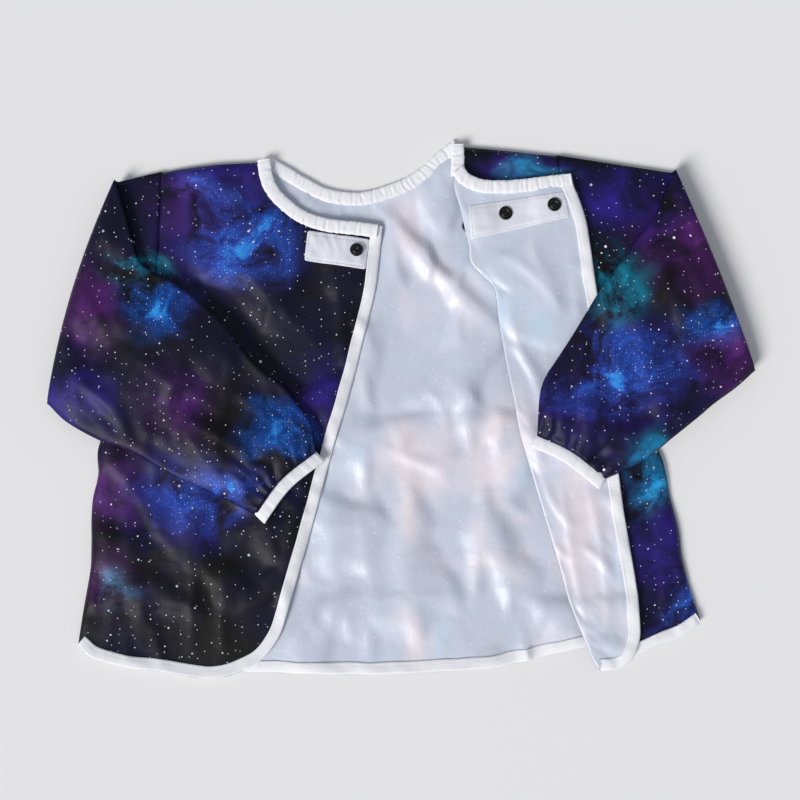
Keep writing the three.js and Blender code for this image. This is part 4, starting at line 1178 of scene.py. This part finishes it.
def patch_on(name, corners, height, seed, node_name, body, columns=60, rows=34):
    """Four-cornered patch that follows the cloth below it, pulled down along its row of stitches.
    Gives back the line of that row."""
    a, b, c, d = [np.array(corner, float) for corner in corners]
    half_w = np.linalg.norm(b - a) / 2
    half_t = np.linalg.norm(d - a) / 2
    x, y = np.meshgrid(np.linspace(-half_w, half_w, columns), np.linspace(-half_t, half_t, rows))
    rim = np.minimum(half_w - np.abs(x), half_t - np.abs(y))
    x, y = round_corners(x, y, half_w, half_t)
    u = (x / half_w + 1)[..., None] / 2
    v = (y / half_t + 1)[..., None] / 2
    plan = (1 - u) * (1 - v) * a + u * (1 - v) * b + u * v * c + (1 - u) * v * d
    puff = 0.5 * np.clip(rim / 5, 0, 1) + 0.2 * swell(plan[..., 0], plan[..., 1], 13, seed)
    stitched = 0.4 * np.exp(-((rim - PATCH_STITCH_IN) / 0.8) ** 2)
    z = height(plan[..., 0], plan[..., 1]) + PATCH_LIFT + puff - stitched - 0.3 * np.exp(-rim / 0.5)
    piece = cloth_from_net(name, plan, z)
    thicken(piece, PATCH_THICKNESS)
    piece.data.materials.append(PATCH)
    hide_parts(node_name)
    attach(piece, body)
    border = [plan[2, 2:-2], plan[2:-2, -3], plan[-3, 2:-2][::-1], plan[2:-2, 2][::-1]]
    return np.vstack(border + [plan[2, 2:4]])


def lathe(name, profile, centre):
    """Turned shape about a vertical line: profile is (radius, height) from the bottom middle to the top."""
    vertices = []
    rings = []
    for radius, height in profile:
        count = SNAP_SEGMENTS if radius else 1
        rings.append((len(vertices), count))
        for k in range(count):
            a = 2 * math.pi * k / count
            vertices.append((centre[0] + radius * math.cos(a), centre[1] + radius * math.sin(a),
                             centre[2] + height))
    faces = []
    for (low, low_count), (high, high_count) in zip(rings[:-1], rings[1:]):
        for k in range(SNAP_SEGMENTS):
            after = (k + 1) % SNAP_SEGMENTS
            if low_count == 1:
                faces.append((low, high + after, high + k))
            elif high_count == 1:
                faces.append((low + k, low + after, high))
            else:
                faces.append((low + k, low + after, high + after, high + k))
    piece = add_mesh(name, vertices, faces)
    piece.data.materials.append(SNAP)
    return piece


# Turned shapes of the snap's parts: radius and height from the bottom middle to the top middle.
SOCKET_PROFILE = [(0, 0), (5.4, 0), (5.9, 0.15), (6.1, 0.6), (5.95, 1.15), (5.4, 1.35), (5.0, 1.25),
                  (4.75, 0.95), (4.45, 0.95), (4.2, 1.3), (3.9, 2.3), (3.5, 2.75), (2.95, 2.7),
                  (2.7, 2.3), (2.6, 1.2), (1.3, 1.15), (1.2, 1.6), (0.9, 1.8), (0, 1.85)]
STUD_PROFILE = [(0, 0), (5.4, 0), (5.8, 0.15), (5.9, 0.55), (5.75, 1.0), (5.2, 1.2), (4.6, 1.1),
                (3.4, 1.0), (3.1, 1.2), (2.95, 2.0), (3.1, 2.7), (2.8, 3.1), (2.1, 3.2), (1.7, 2.9),
                (1.5, 1.9), (0, 1.8)]
CAP_PROFILE = [(0, 0), (3.5, 0.1), (5.4, 0.35), (6.1, 0.8), (6.2, 1.2), (6.0, 1.55), (5.2, 1.6), (1.7, 1.6),
               (1.7, 3.2), (0, 3.2)]


def snap(name, profile, centre, node_name, body, down=False):
    shape = [(radius, -height) for radius, height in profile] if down else profile
    piece = lathe(name, shape, centre)
    if down:
        piece.data.flip_normals()
    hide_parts(node_name)
    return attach(piece, body)


def snaps_and_patches(left_top, flap_top):
    """Gives back the rows of stitches round the two patches that show."""
    left_border = patch_on("left_patch", LEFT_PATCH, left_top, 101, "left_snap_patch", "left_back")
    right_border = patch_on("right_patch", RIGHT_PATCH, flap_top, 102, "right_snap_patch", "right_back",
                            columns=90)
    patch_on("right_side_patch", HIDDEN_PATCH, lambda x, y: HIDDEN_PATCH_Z + 0 * x, 103,
             "right_side_snap_patch", "garment", columns=16, rows=16)

    z = float(left_top(*LEFT_STUD)) + SNAP_LIFT
    snap("left_stud", STUD_PROFILE, (*LEFT_STUD, z), "left_snap_stud", "left_back")
    snap("left_cap", CAP_PROFILE, (*LEFT_STUD, z - CAP_DROP), "left_snap_cap", "left_back")
    for side, at in (("outer", OUTER_SOCKET), ("inner", INNER_SOCKET)):
        z = float(flap_top(*at)) + SNAP_LIFT
        snap(f"right_{side}_socket", SOCKET_PROFILE, (*at, z), f"right_{side}_snap_socket", "right_back")
        snap(f"right_{side}_cap", CAP_PROFILE, (*at, z - CAP_DROP), f"right_{side}_snap_cap", "right_back")
    snap("right_side_cap", CAP_PROFILE, (*HIDDEN_SNAP, HIDDEN_CAP_Z), "right_side_snap_cap", "garment",
         down=True)
    snap("right_side_socket", SOCKET_PROFILE, (*HIDDEN_SNAP, HIDDEN_SOCKET_Z), "right_side_snap_socket",
         "garment", down=True)
    return left_border, right_border


def stitching(left_border, right_border, front_top, left_top, side_top, flap_top):
    rows = [
        ("front_hem_stitches", inset(FRONT_HEM), front_top, TAPE_STITCH, "garment"),
        ("right_edge_stitches", inset(FLAP_EDGE), flap_top, TAPE_STITCH, "right_back"),
        ("right_hem_stitches", inset(RIGHT_SIDE_HEM), side_top, TAPE_STITCH, "garment"),
        ("left_patch_stitches", left_border, left_top, PATCH_STITCH, "left_back"),
        ("right_patch_stitches", right_border, flap_top, PATCH_STITCH, "right_back"),
        ("left_edge_stitches", inset(LEFT_RIM), left_top, TAPE_STITCH, None),
    ]
    for name, path, height, lift, body in rows:
        sew_on(stitch_row(name, path, height, lift), THREAD, body)


# --- studio
TABLE_REACH = 3000
WINDOW_WAY = (0.62, 0.60, -0.74)               # the light comes in low, from the hem's left
CAMERA_PLACE = (0.0005, 0.008, 1.008)          # metres


def pale_table():
    material = new_material("pale_table", Base_Color=linear("#EFEFF0"), Roughness=0.75)[0]
    corners = [(-TABLE_REACH, -TABLE_REACH, 0), (TABLE_REACH, -TABLE_REACH, 0),
               (TABLE_REACH, TABLE_REACH, 0), (-TABLE_REACH, TABLE_REACH, 0)]
    floor = add_mesh("floor", corners, [(0, 1, 2, 3)], smooth_faces=False)
    floor.data.materials.append(material)


def studio():
    """A broad soft window light, a dim even room, and the camera straight overhead."""
    pale_table()
    scene = bpy.context.scene
    scene.view_settings.view_transform = "Standard"
    scene.world = bpy.data.worlds.new("soft_room")
    scene.world.use_nodes = True
    sky = scene.world.node_tree.nodes["Background"]
    sky.inputs["Color"].default_value = linear("#EFF4FF")
    sky.inputs["Strength"].default_value = 0.36
    sun = bpy.data.lights.new("window", "SUN")
    sun.energy = 2.75
    sun.angle = math.radians(26)
    sun.color = linear("#FFFCF8")[:3]
    window = bpy.data.objects.new("window", sun)
    window.rotation_euler = Vector(WINDOW_WAY).to_track_quat("-Z", "Y").to_euler()
    scene.collection.objects.link(window)
    camera = bpy.data.cameras.new("camera")
    camera.lens = 50
    view = bpy.data.objects.new("camera", camera)
    view.location = CAMERA_PLACE
    scene.collection.objects.link(view)
    scene.camera = view


front = front_cloth()
left_back = left_back_cloth(front)
right_side = right_side_cloth(front)
flap = right_flap_cloth()
tops = [surface_of(piece) for piece in (front, left_back, right_side)]
flap_underside = surface_of(flap)
tops.append(lambda x, y: flap_underside(x, y) + CLOTH_THICKNESS)
left_sleeve_cloth()
right_sleeve_cloth()
bind_edges(*tops)
gather_neck()
gather_cuffs()
stitching(*snaps_and_patches(tops[1], tops[3]), *tops)
bend_at_left_hinge(left_back)
bend_between(flap)
studio()
